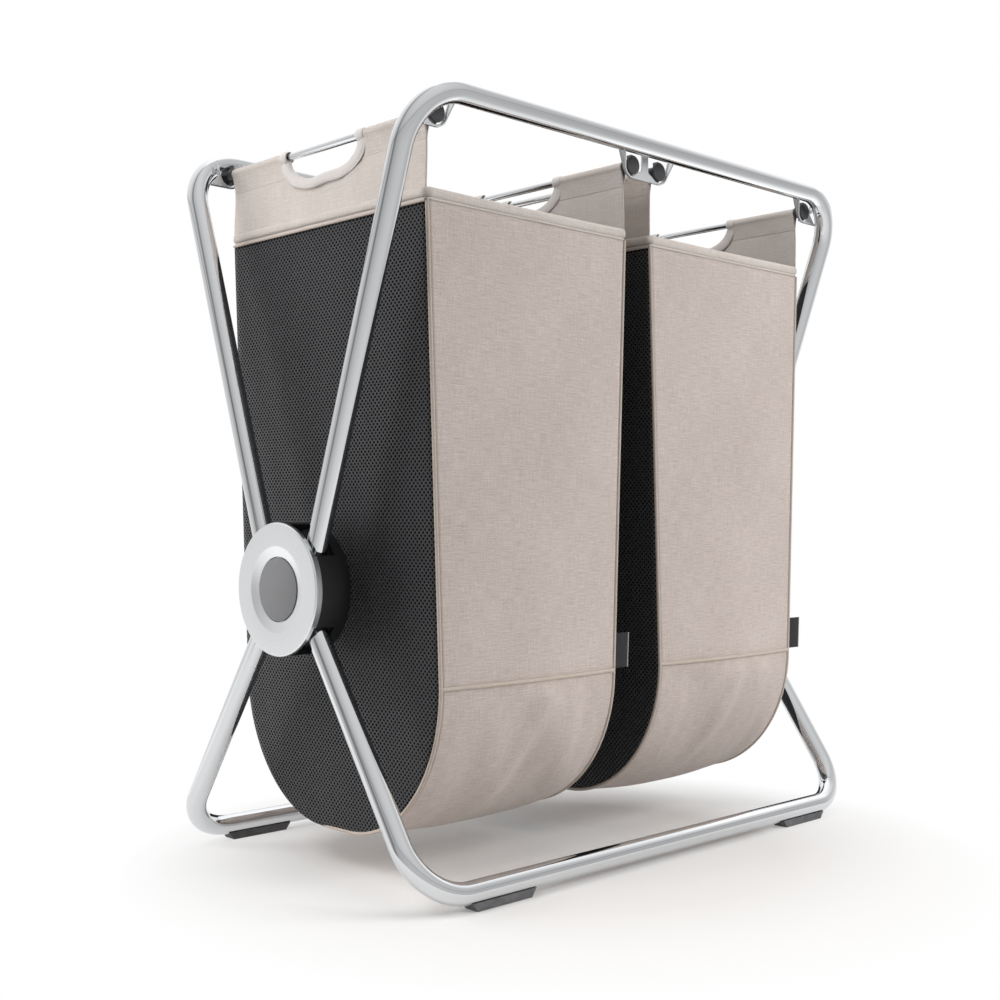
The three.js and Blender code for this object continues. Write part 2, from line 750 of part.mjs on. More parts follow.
function outlineHalf() {
  const stations = [];
  for (let i = 0; i < straightSteps; i++) {
    const z = hemBottomZ + (bagSeamZ - hemBottomZ) * (i / straightSteps);
    stations.push({ y: bagHalfDepth, z, outY: 1, outZ: 0 });
  }
  const radiusY = bagHalfDepth - bagFlatHalfDepth;
  const radiusZ = bagSeamZ - bagBottomZ;
  for (let i = 0; i <= outlineSteps; i++) {
    const turn = (Math.PI / 2) * (i / outlineSteps);
    const out = new THREE.Vector2(Math.cos(turn) / radiusY, Math.sin(turn) / radiusZ).normalize();
    stations.push({
      y: bagFlatHalfDepth + radiusY * Math.cos(turn),
      z: bagSeamZ - radiusZ * Math.sin(turn),
      outY: out.x,
      outZ: -out.y,
    });
  }
  return stations;
}

const halfOutline = outlineHalf();
const mirrored = halfOutline.map(({ y, z, outY, outZ }) => ({ y: -y, z, outY: -outY, outZ }));
const fullOutline = [...mirrored, ...[...halfOutline].reverse()];
const seamSetback = pipingRadius + seatGap;

function bagWrap() {
  const rows = fullOutline.length - 1;
  return sheet(wrapColumns, rows, (column, row, face) => {
    const { y, z, outY, outZ } = fullOutline[row];
    const share = (2 * column) / wrapColumns - 1;
    const top = row === 0 || row === rows ? seatGap : 0;
    const drop = Math.min(1, (hemBottomZ - z) / (hemBottomZ - bagSeamZ));
    const out = bagBulge * (1 - share * share) * drop + (face * clothThickness) / 2;
    const x = share * (halfWidthAt(z) - seamSetback);
    return new THREE.Vector3(-x, y + out * outY, z + out * outZ - top);
  });
}

function meshEnd() {
  const rows = halfOutline.length - 1;
  return sheet(1, rows, (column, row, face) => {
    const { y, z, outY, outZ } = halfOutline[rows - row];
    const side = 2 * column - 1;
    const top = row === rows ? seatGap : 0;
    const x = halfWidthAt(z) - bagHalfWidth + (face * clothThickness) / 2;
    return new THREE.Vector3(x, side * (y - seamSetback * outY), z - seamSetback * outZ - top);
  });
}

function pipingCord(side) {
  const points = fullOutline.map(({ y, z }) => new THREE.Vector3(side * halfWidthAt(z), y, z));
  const last = points.length - 1;
  points[0].z -= 2 * seatGap;
  points[last].z -= 2 * seatGap;
  const tangents = points.map((point, i) => {
    const after = points[Math.min(i + 1, last)];
    const before = points[Math.max(i - 1, 0)];
    return new THREE.Vector3().subVectors(after, before).normalize();
  });
  const section = new THREE.Shape(circlePoints(pipingRadius, pipingSides));
  return closed(sweep(section, new StationPath(points, tangents)));
}

function ringShape(halfX, halfY, thickness) {
  const box = (x, y) => [
    [-x, -y],
    [x, -y],
    [x, y],
    [-x, y],
  ];
  const shape = shapeOf(box(halfX, halfY));
  shape.holes.push(new THREE.Path(shapeOf(box(halfX - thickness, halfY - thickness)).getPoints()));
  return shape;
}

function hemBand() {
  const proud = hemThickness / 2;
  const shape = ringShape(bagHalfWidth + proud, bagHalfDepth + proud, hemThickness);
  const geometry = new THREE.ExtrudeGeometry(shape, { depth: hemHeight, bevelEnabled: false });
  geometry.translate(0, 0, hemBottomZ);
  return closed(geometry);
}

// End flap: rises from the hem, wraps the rod in a sleeve, and has the handle cut through it
function endFlap() {
  const inner = rodRadius + seatGap;
  const outer = inner + sleeveWall;
  const half = clothThickness / 2;
  const bottomZ = hemBottomZ + hemHeight + seatGap;
  const meet = Math.asin(half / outer);
  const shape = new THREE.Shape();
  shape.moveTo(-half, bottomZ);
  shape.lineTo(half, bottomZ);
  shape.absarc(0, rodZ, outer, -Math.PI / 2 + meet, (3 * Math.PI) / 2 - meet, false);
  const hole = circlePoints(inner, armSides).map(({ x, y }) => new THREE.Vector2(x, y + rodZ));
  shape.holes.push(new THREE.Path(hole));
  const cloth = new THREE.ExtrudeGeometry(shape, {
    depth: 2 * bagHalfDepth,
    bevelEnabled: false,
    curveSegments: sleeveSteps,
  });
  const turn = new THREE.Matrix4();
  turn.makeBasis(new THREE.Vector3(1, 0, 0), new THREE.Vector3(0, 0, 1), new THREE.Vector3(0, -1, 0));
  cloth.applyMatrix4(turn);
  cloth.translate(0, bagHalfDepth, 0);
  const handle = new THREE.Shape();
  const cornerY = handleHalfWidth - handleCornerRadius;
  const cornerZ = handleBottomZ + handleCornerRadius;
  handle.moveTo(handleHalfWidth, rodZ + outer + cutOverrun);
  handle.lineTo(-handleHalfWidth, rodZ + outer + cutOverrun);
  handle.absarc(-cornerY, cornerZ, handleCornerRadius, Math.PI, (3 * Math.PI) / 2, false);
  handle.absarc(cornerY, cornerZ, handleCornerRadius, (3 * Math.PI) / 2, 2 * Math.PI, false);
  const opening = solid(alongX(handle, -outer - cutOverrun, outer + cutOverrun));
  return surface(cut(solid(cloth), opening));
}

function tag() {
  const geometry = new THREE.BoxGeometry(tagWidth, tagThickness, tagHeight);
  const x = halfWidthAt(tagBottomZ + tagHeight) + seamSetback + tagWidth / 2;
  geometry.translate(x, -bagHalfDepth, tagBottomZ + tagHeight / 2);
  return closed(geometry);
}

// One bag with its rods; outward is +1 for the bag on the +X side
function bag(side, outward) {
  const group = new THREE.Group();
  group.position.x = outward * bagCentreX;
  const ends = [
    ["outer", outward],
    ["inner", -outward],
  ];
  for (const [end, toward] of ends) {
    const panel = piece(`mesh_end_${end}_${side}`, meshEnd(), "mesh");
    const flap = piece(`flap_${end}_${side}`, endFlap(), "cloth");
    panel.rotation.z = toward > 0 ? 0 : Math.PI;
    panel.position.x = toward * bagHalfWidth;
    flap.position.x = toward * bagHalfWidth;
    group.add(
      panel,
      flap,
      piece(`piping_${end}_${side}`, pipingCord(toward), "cloth"),
      rod(`rod_${end}_${side}`, toward * bagHalfWidth),
      rodPlug(`rod_plug_${end}_front_${side}`, toward * bagHalfWidth, -1),
      rodPlug(`rod_plug_${end}_rear_${side}`, toward * bagHalfWidth, 1),
    );
  }
  group.add(
    piece(`bag_wrap_${side}`, bagWrap(), "cloth"),
    piece(`hem_band_${side}`, hemBand(), "cloth"),
    piece(`tag_${side}`, tag(), "tag"),
  );
  return group;
}

const hamper = new THREE.Group();
hamper.add(
  hub("right", "a", "b"),
  hub("left", "b", "a"),
  topRail("top_rail_front", frontTopLeg),
  topRail("top_rail_rear", rearTopLeg),
  bottomRail("bottom_rail_front", frontBottomLeg, -bottomRailY),
  bottomRail("bottom_rail_rear", rearBottomLeg, bottomRailY),
  bag("left", -1),
  bag("right", 1),
);
for (const [place, side] of [
  ["front", -1],
  ["rear", 1],
]) {
  hamper.add(
    foot(`foot_${place}_left`, -footCentreX, side * bottomRailY),
    foot(`foot_${place}_right`, footCentreX, side * bottomRailY),
    cradle(`cradle_${place}_middle`, [-innerRodX, innerRodX], side),
    cradle(`cradle_${place}_left`, [side * -outerRodX], side),
    cradle(`cradle_${place}_right`, [side * outerRodX], side),
  );
}

export default hamper;
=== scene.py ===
import bisect
import math
from functools import partial

import bmesh
import bpy
from mathutils import Matrix, Vector, noise


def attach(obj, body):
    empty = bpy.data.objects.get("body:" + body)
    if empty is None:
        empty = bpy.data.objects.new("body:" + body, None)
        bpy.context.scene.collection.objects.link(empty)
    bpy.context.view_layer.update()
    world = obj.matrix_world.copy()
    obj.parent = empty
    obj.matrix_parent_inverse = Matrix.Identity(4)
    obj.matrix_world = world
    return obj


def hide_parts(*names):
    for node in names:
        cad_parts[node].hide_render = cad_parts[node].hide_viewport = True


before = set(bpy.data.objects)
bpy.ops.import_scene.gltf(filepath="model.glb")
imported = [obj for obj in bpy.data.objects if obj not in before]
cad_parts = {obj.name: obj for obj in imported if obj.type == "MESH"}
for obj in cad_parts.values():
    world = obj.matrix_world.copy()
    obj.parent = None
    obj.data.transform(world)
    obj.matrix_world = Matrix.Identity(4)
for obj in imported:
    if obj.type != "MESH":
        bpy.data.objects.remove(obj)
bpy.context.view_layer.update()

mm = 0.001
quarter = math.pi / 2
pivotZ = 292.5 * mm  # height of the fold axis
print("frame loaded")


# Small helpers for meshes


def meshFrom(name, bm, material):
    mesh = bpy.data.meshes.new(name)
    bm.to_mesh(mesh)
    bm.free()
    mesh.materials.append(material)
    return mesh


def linked(name, data):
    made = bpy.data.objects.new(name, data)
    bpy.context.scene.collection.objects.link(made)
    return made


def newPiece(name, bm, material, body, stands=(), sharpAt=35):
    mesh = meshFrom(name, bm, material)
    mesh.shade_smooth()
    mesh.set_sharp_from_angle(angle=math.radians(sharpAt))
    piece = linked(name, mesh)
    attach(piece, body)
    if stands:
        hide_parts(*stands)
    return piece


def tidied(bm, merge=0.01 * mm):
    bmesh.ops.remove_doubles(bm, verts=bm.verts, dist=merge)
    bmesh.ops.recalc_face_normals(bm, faces=bm.faces)
    return bm


def pulled(bm, edges, offset):
    grown = bmesh.ops.extrude_edge_only(bm, edges=edges)["geom"]
    verts = {item for item in grown if isinstance(item, bmesh.types.BMVert)}
    bmesh.ops.translate(bm, verts=list(verts), vec=offset)
    return [e for e in grown if isinstance(e, bmesh.types.BMEdge) and set(e.verts) <= verts]


def spun(bm, geom, centre, axis, angle, steps, merge=False):
    made = bmesh.ops.spin(
        bm,
        geom=geom,
        cent=centre,
        axis=axis,
        dvec=(0, 0, 0),
        angle=angle,
        steps=steps,
        use_merge=merge,
        use_duplicate=False,
    )
    return [e for e in made["geom_last"] if isinstance(e, bmesh.types.BMEdge)]


# a profile of points spun a full turn, closed at its poles
def spunProfile(bm, points, centre, axis, steps=96):
    verts = [bm.verts.new(point) for point in points]
    edges = [bm.edges.new(pair) for pair in zip(verts, verts[1:])]
    spun(bm, verts + edges, centre, axis, 2 * math.pi, steps, True)


# a profile's outer corner in three points, with how far it is cut back at its ends and in its middle
def cutCorner(radius, at, inward, cut):
    ends, middle = cut
    return [(radius - ends, at), (radius - middle, at + inward * middle), (radius, at + inward * ends)]


# a grid laid out by a function of two shares, with its flat size as UV in metres
def laidGrid(bm, columns, rows, place, flat=(1, 1)):
    uvLayer = bm.loops.layers.uv.get("cloth") or bm.loops.layers.uv.new("cloth")
    made = bmesh.ops.create_grid(bm, x_segments=columns, y_segments=rows, size=0.5, calc_uvs=False)
    shares = {vert: (vert.co.x + 0.5, vert.co.y + 0.5) for vert in made["verts"]}
    for face in {face for vert in shares for face in vert.link_faces}:
        for loop in face.loops:
            u, v = shares[loop.vert]
            loop[uvLayer].uv = (u * flat[0], v * flat[1])
    for vert, (u, v) in shares.items():
        vert.co = place(u, v)


# a round cord along a line of points
def cordAlong(bm, points, radius, sides):
    length = sum((b - a).length for a, b in zip(points, points[1:]))
    last = len(points) - 1

    def place(u, v):
        index = round(v * last)
        along = (points[min(index + 1, last)] - points[max(index - 1, 0)]).normalized()
        across = along.orthogonal() if abs(along.x) > 0.9 else along.cross(Vector((1, 0, 0)))
        across.normalize()
        turn = 2 * math.pi * u
        return points[index] + radius * (across * math.cos(turn) + along.cross(across) * math.sin(turn))

    laidGrid(bm, sides, last, place, (2 * math.pi * radius, length))


def lengthsAlong(points):
    lengths = [0]
    for a, b in zip(points, points[1:]):
        lengths.append(lengths[-1] + (b - a).length)
    return lengths


stitches = {"pitch": 3.3 * mm, "radius": 0.28 * mm, "length": 0.38, "thickness": 0.8}


# sewn stitches: short threads laid end to end along a line
def stitchesAlong(bm, points, normal, pitch=stitches["pitch"]):
    lengths = lengthsAlong(points)
    radius = stitches["radius"]
    for i in range(int(lengths[-1] / pitch)):
        at = (i + 0.5) * pitch
        index = min(bisect.bisect_right(lengths, at) - 1, len(points) - 2)
        a, b = points[index], points[index + 1]
        along = (b - a).normalized()
        side = along.cross(normal).normalized()
        turn = Matrix((along, side, side.cross(along))).transposed().to_4x4()
        stretch = Matrix.Diagonal((pitch * stitches["length"], radius, radius * stitches["thickness"], 1))
        place = Matrix.Translation(a + along * (at - lengths[index])) @ turn @ stretch
        bmesh.ops.create_icosphere(bm, subdivisions=1, radius=1, matrix=place)


def thickened(piece, thickness, offset=0):
    solidify = piece.modifiers.new("thickness", "SOLIDIFY")
    solidify.thickness = thickness
    solidify.offset = offset
    solidify.use_even_offset = True


def softened(piece, width, angle):
    bevel = piece.modifiers.new("edges", "BEVEL")
    bevel.width = width
    bevel.segments = 2
    bevel.limit_method = "ANGLE"
    bevel.angle_limit = math.radians(angle)


def eased(share):
    share = min(1, max(0, share))
    return share * share * (3 - 2 * share)


def bell(share):
    return math.exp(-share * share)


# smooth noise from two places, each with its own rate
def wavering(first, second, rates, seed):
    return noise.noise(Vector((first * rates[0], second * rates[1], seed)))


# Materials: every colour is written as seen on screen and turned to linear here


def linear(hexColour):
    channels = []
    for start in (0, 2, 4):
        value = int(hexColour[start : start + 2], 16) / 255
        channels.append(value / 12.92 if value <= 0.04045 else ((value + 0.055) / 1.055) ** 2.4)
    return (*channels, 1)


# each input takes a constant or the socket that feeds it
def feed(tree, node, inputs):
    for key, source in inputs.items() if isinstance(inputs, dict) else enumerate(inputs):
        if isinstance(source, bpy.types.NodeSocket):
            tree.links.new(source, node.inputs[key])
        else:
            node.inputs[key].default_value = source


def addNode(tree, kind, inputs=(), output=0, **settings):
    node = tree.nodes.new(f"ShaderNode{kind}")
    for key, value in settings.items():
        setattr(node, key, value)
    feed(tree, node, inputs)
    return node.outputs[output]


# a new material, with ways to add a node to it and to feed its shader
def startMaterial(name):
    material = bpy.data.materials.new(name)
    material.use_nodes = True
    tree = material.node_tree
    return material, partial(addNode, tree), partial(feed, tree, tree.nodes["Principled BSDF"])


noiseSpread = (0.3, 0.7)  # nearly all of a noise pattern lies between these

chromeLook = {
    "tube": {"colour": "DADCDE", "roughness": (0.03, 0.08), "metallic": 1.0},
    "sheet": {"colour": "D8DADC", "roughness": (0.34, 0.44), "metallic": 0.6},
    "smear": 45.5 * mm,
    "wave": 14.3 * mm,
    "waveDepth": 0.03 * mm,
}


# chrome plate on drawn steel tube: a mirror finish, a little soft from handling and the tube's own waviness
def chromePlate(name, look):
    material, add, shade = startMaterial(name)
    place = add("TexCoord", output="Object")
    smears = add("TexNoise", {"Vector": place, "Scale": 1 / chromeLook["smear"], "Detail": 4})
    waves = add("TexNoise", {"Vector": place, "Scale": 1 / chromeLook["wave"], "Detail": 1})
    shade({
        "Base Color": linear(look["colour"]),
        "Metallic": look["metallic"],
        "Roughness": add("MapRange", [smears, *noiseSpread, *look["roughness"]]),
        "Normal": add("Bump", {"Height": waves, "Distance": chromeLook["waveDepth"]}),
    })
    return material


discLook = {"colour": "E8EAEB", "ring": 0.55 * mm, "ringDepth": 0.01 * mm, "cloud": 33.3 * mm}


# metallised disc with a turned, satin face: fine circular lines that stretch the highlights
def satinAluminium():
    material, add, shade = startMaterial("satinAluminium")
    place = add("TexCoord", output="Object")
    flat = add("VectorMath", [place, (0, 1, 1), (0, 0, -pivotZ)], operation="MULTIPLY_ADD")
    radius = add("VectorMath", [flat], "Value", operation="LENGTH")
    rings = {"Vector": add("CombineXYZ", [radius]), "Scale": 1 / discLook["ring"]}
    lines = add("TexNoise", {**rings, "Detail": 3, "Roughness": 0.7})
    clouds = add("TexNoise", {"Vector": place, "Scale": 1 / discLook["cloud"]})
    cloudy = add("MapRange", [clouds, *noiseSpread, 0, 0.05])
    lined = add("MapRange", [lines, *noiseSpread, 0.2, 0.34])
    shade({
        "Base Color": linear(discLook["colour"]),
        "Metallic": 1.0,
        "Roughness": add("Math", [lined, cloudy], operation="ADD"),
        "Normal": add("Bump", {"Height": lines, "Distance": discLook["ringDepth"]}),
    })
    return material


plasticLook = {
    "cap": ("727274", 0.5),  # colour and roughness
    "hub": ("1B1B1C", 0.42),
    "plug": ("3A3A3C", 0.45),
    "spread": 0.05,  # of the roughness
    "wear": 55.6 * mm,
    "grain": 0.45 * mm,
    "grainDepth": 0.02 * mm,
}


# moulded ABS and nylon: an even colour with a fine spark-eroded grain
def mouldedPlastic(name, hexColour, roughness):
    material, add, shade = startMaterial(name)
    place = add("TexCoord", output="Object")
    grains = add("TexNoise", {"Vector": place, "Scale": 1 / plasticLook["grain"]})
    wear = add("TexNoise", {"Vector": place, "Scale": 1 / plasticLook["wear"], "Detail": 3})
    spread = plasticLook["spread"]
    shade({
        "Base Color": linear(hexColour),
        "IOR": 1.53,
        "Roughness": add("MapRange", [wear, *noiseSpread, roughness - spread, roughness + spread]),
        "Normal": add("Bump", {"Height": grains, "Distance": plasticLook["grainDepth"]}),
    })
    return material


rubberLook = {
    "clean": "525254",
    "dusty": "666668",
    "dust": 11.1 * mm,
    "grain": 0.556 * mm,
    "grainDepth": 0.03 * mm,
}


# thermoplastic rubber of the feet: dull, with slightly dusty patches
def padRubber():
    material, add, shade = startMaterial("padRubber")
    place = add("TexCoord", output="Object")
    dust = add("TexNoise", {"Vector": place, "Scale": 1 / rubberLook["dust"], "Detail": 4})
    grains = add("TexNoise", {"Vector": place, "Scale": 1 / rubberLook["grain"], "Detail": 1})
    share = add("MapRange", [dust, 0.35, 0.7, 0, 1])
    tones = {0: share, 6: linear(rubberLook["clean"]), 7: linear(rubberLook["dusty"])}
    shade({
        "Base Color": add("Mix", tones, 2, data_type="RGBA"),
        "Roughness": 0.68,
        "IOR": 1.52,
        "Normal": add("Bump", {"Height": grains, "Distance": rubberLook["grainDepth"]}),
    })
    return material


zincLook = {"colour": "A9ABAD", "patch": 8.33 * mm}


# zinc-plated steel of the pivot's bolt and nut: grey metal with duller patches
def zincSteel():
    material, add, shade = startMaterial("zincSteel")
    place = add("TexCoord", output="Object")
    patches = add("TexNoise", {"Vector": place, "Scale": 1 / zincLook["patch"], "Detail": 3})
    roughness = add("MapRange", [patches, *noiseSpread, 0.28, 0.42])
    shade({"Base Color": linear(zincLook["colour"]), "Metallic": 1.0, "Roughness": roughness})
    return material


canvasLook = {
    "body": ("D8CCC6", "AB9F98"),  # light and dark threads
    "flap": ("D8D0CA", "BDB3AC"),
    "piping": ("CDC1B7", "AFA296"),
    "pipingDepth": 0.6,  # share of the weave's depth
    "thread": 1.1 * mm,  # real threads lie about 0.5 mm apart, drawn coarser so that they show
    "slub": (20.83 * mm, 0.9524 * mm),  # length and width of a thread's thick places
    "cloud": 143 * mm,
    "speck": 1.6 * mm,
    "weaveDepth": 0.13 * mm,
}


# plain-woven polyester canvas with a linen look: threads of uneven thickness in both directions
def wovenCanvas(name, light, dark, depthShare=1.0):
    material, add, shade = startMaterial(name)
    flat = add("UVMap", uv_map="cloth")
    turns = add("VectorMath", {0: flat, "Scale": 2 * math.pi / canvasLook["thread"]}, operation="SCALE")
    warp = add("SeparateXYZ", [add("VectorMath", [turns], operation="SINE")])
    weave = add("Math", [warp, warp.node.outputs["Y"]], operation="MULTIPLY")
    slubs = []
    for wide, tall in (canvasLook["slub"], canvasLook["slub"][::-1]):
        stretched = add("Mapping", {"Vector": flat, "Scale": (1 / wide, 1 / tall, 1)})
        slubs.append(add("TexNoise", {"Vector": stretched, "Scale": 1, "Roughness": 0.6}))
    along = add("Math", [slubs[1], 0.8], operation="MULTIPLY")
    both = add("Math", [slubs[0], 1.2, along], operation="MULTIPLY_ADD")
    clouds = add("TexNoise", {"Vector": flat, "Scale": 1 / canvasLook["cloud"]})
    specks = add("TexNoise", {"Vector": flat, "Scale": 1 / canvasLook["speck"]})
    tone = add("MapRange", [both, 0.7, 1.3, 0.16, 0.76])
    for pattern, most in ((clouds, 0.09), (specks, 0.2)):
        shift = add("MapRange", [pattern, *noiseSpread, -most, most])
        tone = add("Math", [tone, shift], operation="ADD")
    tone = add("Math", [weave, 0.06, tone], operation="MULTIPLY_ADD", use_clamp=True)
    thick = add("Math", [both, 0.6], operation="MULTIPLY")
    height = add("Math", [weave, 0.5, thick], operation="MULTIPLY_ADD")
    shade({
        "Base Color": add("Mix", {0: tone, 6: linear(dark), 7: linear(light)}, 2, data_type="RGBA"),
        "Roughness": 0.92,
        "Sheen Weight": 0.12,
        "Sheen Roughness": 0.5,
        "IOR": 1.45,
        "Specular IOR Level": 0.25,
        "Normal": add("Bump", {"Height": height, "Distance": canvasLook["weaveDepth"] * depthShare}),
    })
    return material


meshLook = {
    "yarn": "353538",
    # painted shade: the colour of the holes stands in for the shaded hollow of the knit seen through them
    "hole": "050506",
    "pitch": 5.6 * mm,  # real holes lie closer, drawn as coarse as they look in the picture
    "row": 2.95 * mm,
    "holeRadius": 1.25 * mm,
    "holeStretch": 0.8,
    "fuzz": 0.667 * mm,
    "cloud": 71.4 * mm,
    "depth": 0.5 * mm,
}


# warp-knit spacer mesh: charcoal yarn with a slight gloss round small staggered holes, which are painted
# nearly black as painted shade of the knit's hollow inside
def spacerMesh():
    material, add, shade = startMaterial("spacerMesh")
    place = add("TexCoord", output="Object")
    cells = add("VectorMath", [place, (1, meshLook["pitch"], meshLook["row"])], operation="DIVIDE")
    row = add("Math", [add("SeparateXYZ", [cells], "Z")], operation="FLOOR")
    odd = add("Math", [row, 2], operation="FLOORED_MODULO")
    shift = add("CombineXYZ", {"Y": add("Math", [odd, 0.5], operation="MULTIPLY")})
    staggered = add("VectorMath", [cells, shift], operation="ADD")
    inCell = add("VectorMath", [staggered], operation="FRACTION")
    wide = meshLook["pitch"] / meshLook["holeRadius"] * meshLook["holeStretch"]
    tall = meshLook["row"] / meshLook["holeRadius"]
    fromHole = [inCell, (0, wide, tall), (0, -wide / 2, -tall / 2)]
    centred = add("VectorMath", fromHole, operation="MULTIPLY_ADD")
    distance = add("VectorMath", [centred], "Value", operation="LENGTH")
    yarn = add("MapRange", [distance, 0.8, 1.25, 0, 1])
    fuzz = add("TexNoise", {"Vector": place, "Scale": 1 / meshLook["fuzz"]})
    clouds = add("TexNoise", {"Vector": place, "Scale": 1 / meshLook["cloud"]})
    cloudy = add("MapRange", [clouds, *noiseSpread, 0.85, 1.0])
    lit = add("Math", [yarn, cloudy], operation="MULTIPLY")
    # yarn colour on the yarn, painted shade in the holes
    tones = {0: lit, 6: linear(meshLook["hole"]), 7: linear(meshLook["yarn"])}
    height = add("Math", [fuzz, 0.3, yarn], operation="MULTIPLY_ADD")
    shade({
        "Base Color": add("Mix", tones, 2, data_type="RGBA"),
        "Roughness": 0.45,
        "Sheen Weight": 0.2,
        "Sheen Roughness": 0.3,
        "Specular IOR Level": add("MapRange", [yarn, 0, 1, 0.03, 0.52]),
        "Normal": add("Bump", {"Height": height, "Distance": meshLook["depth"]}),
    })
    return material


tapeLook = {
    # in each entry the light colour goes on the ribs' tops and the dark colour is painted shade in the
    # grooves
    "binding": ("DDD8D5", "C6BFBA", 1.1 * mm),  # light, dark and rib
    "label": ("353537", "232325", 0.8 * mm),
    "labelEdge": ("B9B4AF", "98938E", 0.8 * mm),
    "weft": 0.7,  # its spacing as a share of a rib
    "depth": 0.07 * mm,
}


# narrow woven tape and label: close ribs across its length, painted darker in the grooves and lighter on the
# ribs' tops as painted shade
def ribbedTape(name, light, dark, rib):
    material, add, shade = startMaterial(name)
    flat = add("UVMap", uv_map="cloth")
    rate = (2 * math.pi / rib, 2 * math.pi / (rib * tapeLook["weft"]), 0)
    turns = add("VectorMath", [flat, rate], operation="MULTIPLY")
    ribs = add("SeparateXYZ", [add("VectorMath", [turns], operation="SINE")])
    height = add("Math", [ribs.node.outputs["Y"], 0.4, ribs], operation="MULTIPLY_ADD")
    # painted shade: the colour follows the rib height, darker in the grooves and lighter on the tops
    tones = {0: add("MapRange", [height, -1.4, 1.4, 0, 1]), 6: linear(dark), 7: linear(light)}
    shade({
        "Base Color": add("Mix", tones, 2, data_type="RGBA"),
        "Roughness": 0.9,
        "Sheen Weight": 0.1,
        "Specular IOR Level": 0.25,
        "Normal": add("Bump", {"Height": height, "Distance": tapeLook["depth"]}),
    })
    return material


threadLook = {"dark": "AFA399", "light": "C9BFB6", "twist": 0.833 * mm}


# polyester sewing thread, twisted, with a slight gloss
def sewingThread():
    material, add, shade = startMaterial("sewingThread")
    place = add("TexCoord", output="Object")
    twist = add("TexNoise", {"Vector": place, "Scale": 1 / threadLook["twist"], "Detail": 1})
    tones = {0: twist, 6: linear(threadLook["dark"]), 7: linear(threadLook["light"])}
    colours = add("Mix", tones, 2, data_type="RGBA")
    shade({"Base Color": colours, "Roughness": 0.7, "Specular IOR Level": 0.35})
    return material


chrome = chromePlate("chromePlate", chromeLook["tube"])
polishedSheet = chromePlate("polishedSheet", chromeLook["sheet"])
satinDisc = satinAluminium()
capPlastic = mouldedPlastic("capAbs", *plasticLook["cap"])
hubPlastic = mouldedPlastic("hubAbs", *plasticLook["hub"])
plugPlastic = mouldedPlastic("plugNylon", *plasticLook["plug"])
rubber = padRubber()
zinc = zincSteel()
canvas = wovenCanvas("wovenCanvas", *canvasLook["body"])
flapCanvas = wovenCanvas("flapCanvas", *canvasLook["flap"])
pipingCloth = wovenCanvas("pipingCloth", *canvasLook["piping"], canvasLook["pipingDepth"])
knitMesh = spacerMesh()
tape = ribbedTape("bindingTape", *tapeLook["binding"])
label = ribbedTape("wovenLabel", *tapeLook["label"])
labelEdge = ribbedTape("labelEdge", *tapeLook["labelEdge"])
thread = sewingThread()
print("materials made")


# Tube frame

tubes = {
    "radius": 11 * mm,
    "sides": 64,
    "bendSteps": 24,
    "legX": 344.9 * mm,
    "startsAt": 34 * mm,  # from the point nearest the pivot
    "top": {"railY": 189.7 * mm, "railZ": 759.8 * mm, "bend": 60 * mm, "offset": 29 * mm},
    "bottom": {"railY": 200.6 * mm, "railZ": 16.5 * mm, "bend": 57 * mm, "offset": 15.7 * mm},
}


# a leg's middle line: its point nearest the pivot, its direction and its length to the rail's corner
def legLine(sizes, side):
    foot = Vector((0, side * sizes["offset"], pivotZ))
    rail = Vector((0, side * sizes["railY"], sizes["railZ"]))
    along = rail - foot
    reach = along.length
    along.normalize()
    back = side * sizes["offset"] * along.y
    return foot - along * back, along, reach + back


def makeRail(name, node, body, sizes, side):
    nearest, along, reach = legLine(sizes, side)
    bend = sizes["bend"]
    outward = Vector((1, 0, 0))
    bendX = tubes["legX"] - bend
    start = nearest + along * tubes["startsAt"]
    start.x = tubes["legX"]
    bm = bmesh.new()
    placed = Matrix.Translation(start) @ along.to_track_quat("Z", "X").to_matrix().to_4x4()
    bmesh.ops.create_circle(
        bm, cap_ends=True, segments=tubes["sides"], radius=tubes["radius"], matrix=placed
    )
    leg = along * (reach - bend - tubes["startsAt"])
    edges = pulled(bm, list(bm.edges), leg)
    bendCentre = nearest + along * (reach - bend)
    axis = along.cross(-outward)
    for x, onward in ((bendX, -outward * 2 * bendX), (-bendX, -leg)):
        geom = list({vert for edge in edges for vert in edge.verts}) + edges
        edges = spun(bm, geom, bendCentre + outward * x, axis, quarter, tubes["bendSteps"])
        edges = pulled(bm, edges, onward)
    bmesh.ops.contextual_create(bm, geom=edges)
    newPiece(name, tidied(bm), chrome, body, (node,), 50)


makeRail("topTubeFront", "top_rail_front", "frame_a", tubes["top"], -1)
makeRail("topTubeRear", "top_rail_rear", "frame_b", tubes["top"], 1)
makeRail("bottomTubeFront", "bottom_rail_front", "frame_b", tubes["bottom"], -1)
makeRail("bottomTubeRear", "bottom_rail_rear", "frame_a", tubes["bottom"], 1)
print("tubes made")


# Hubs

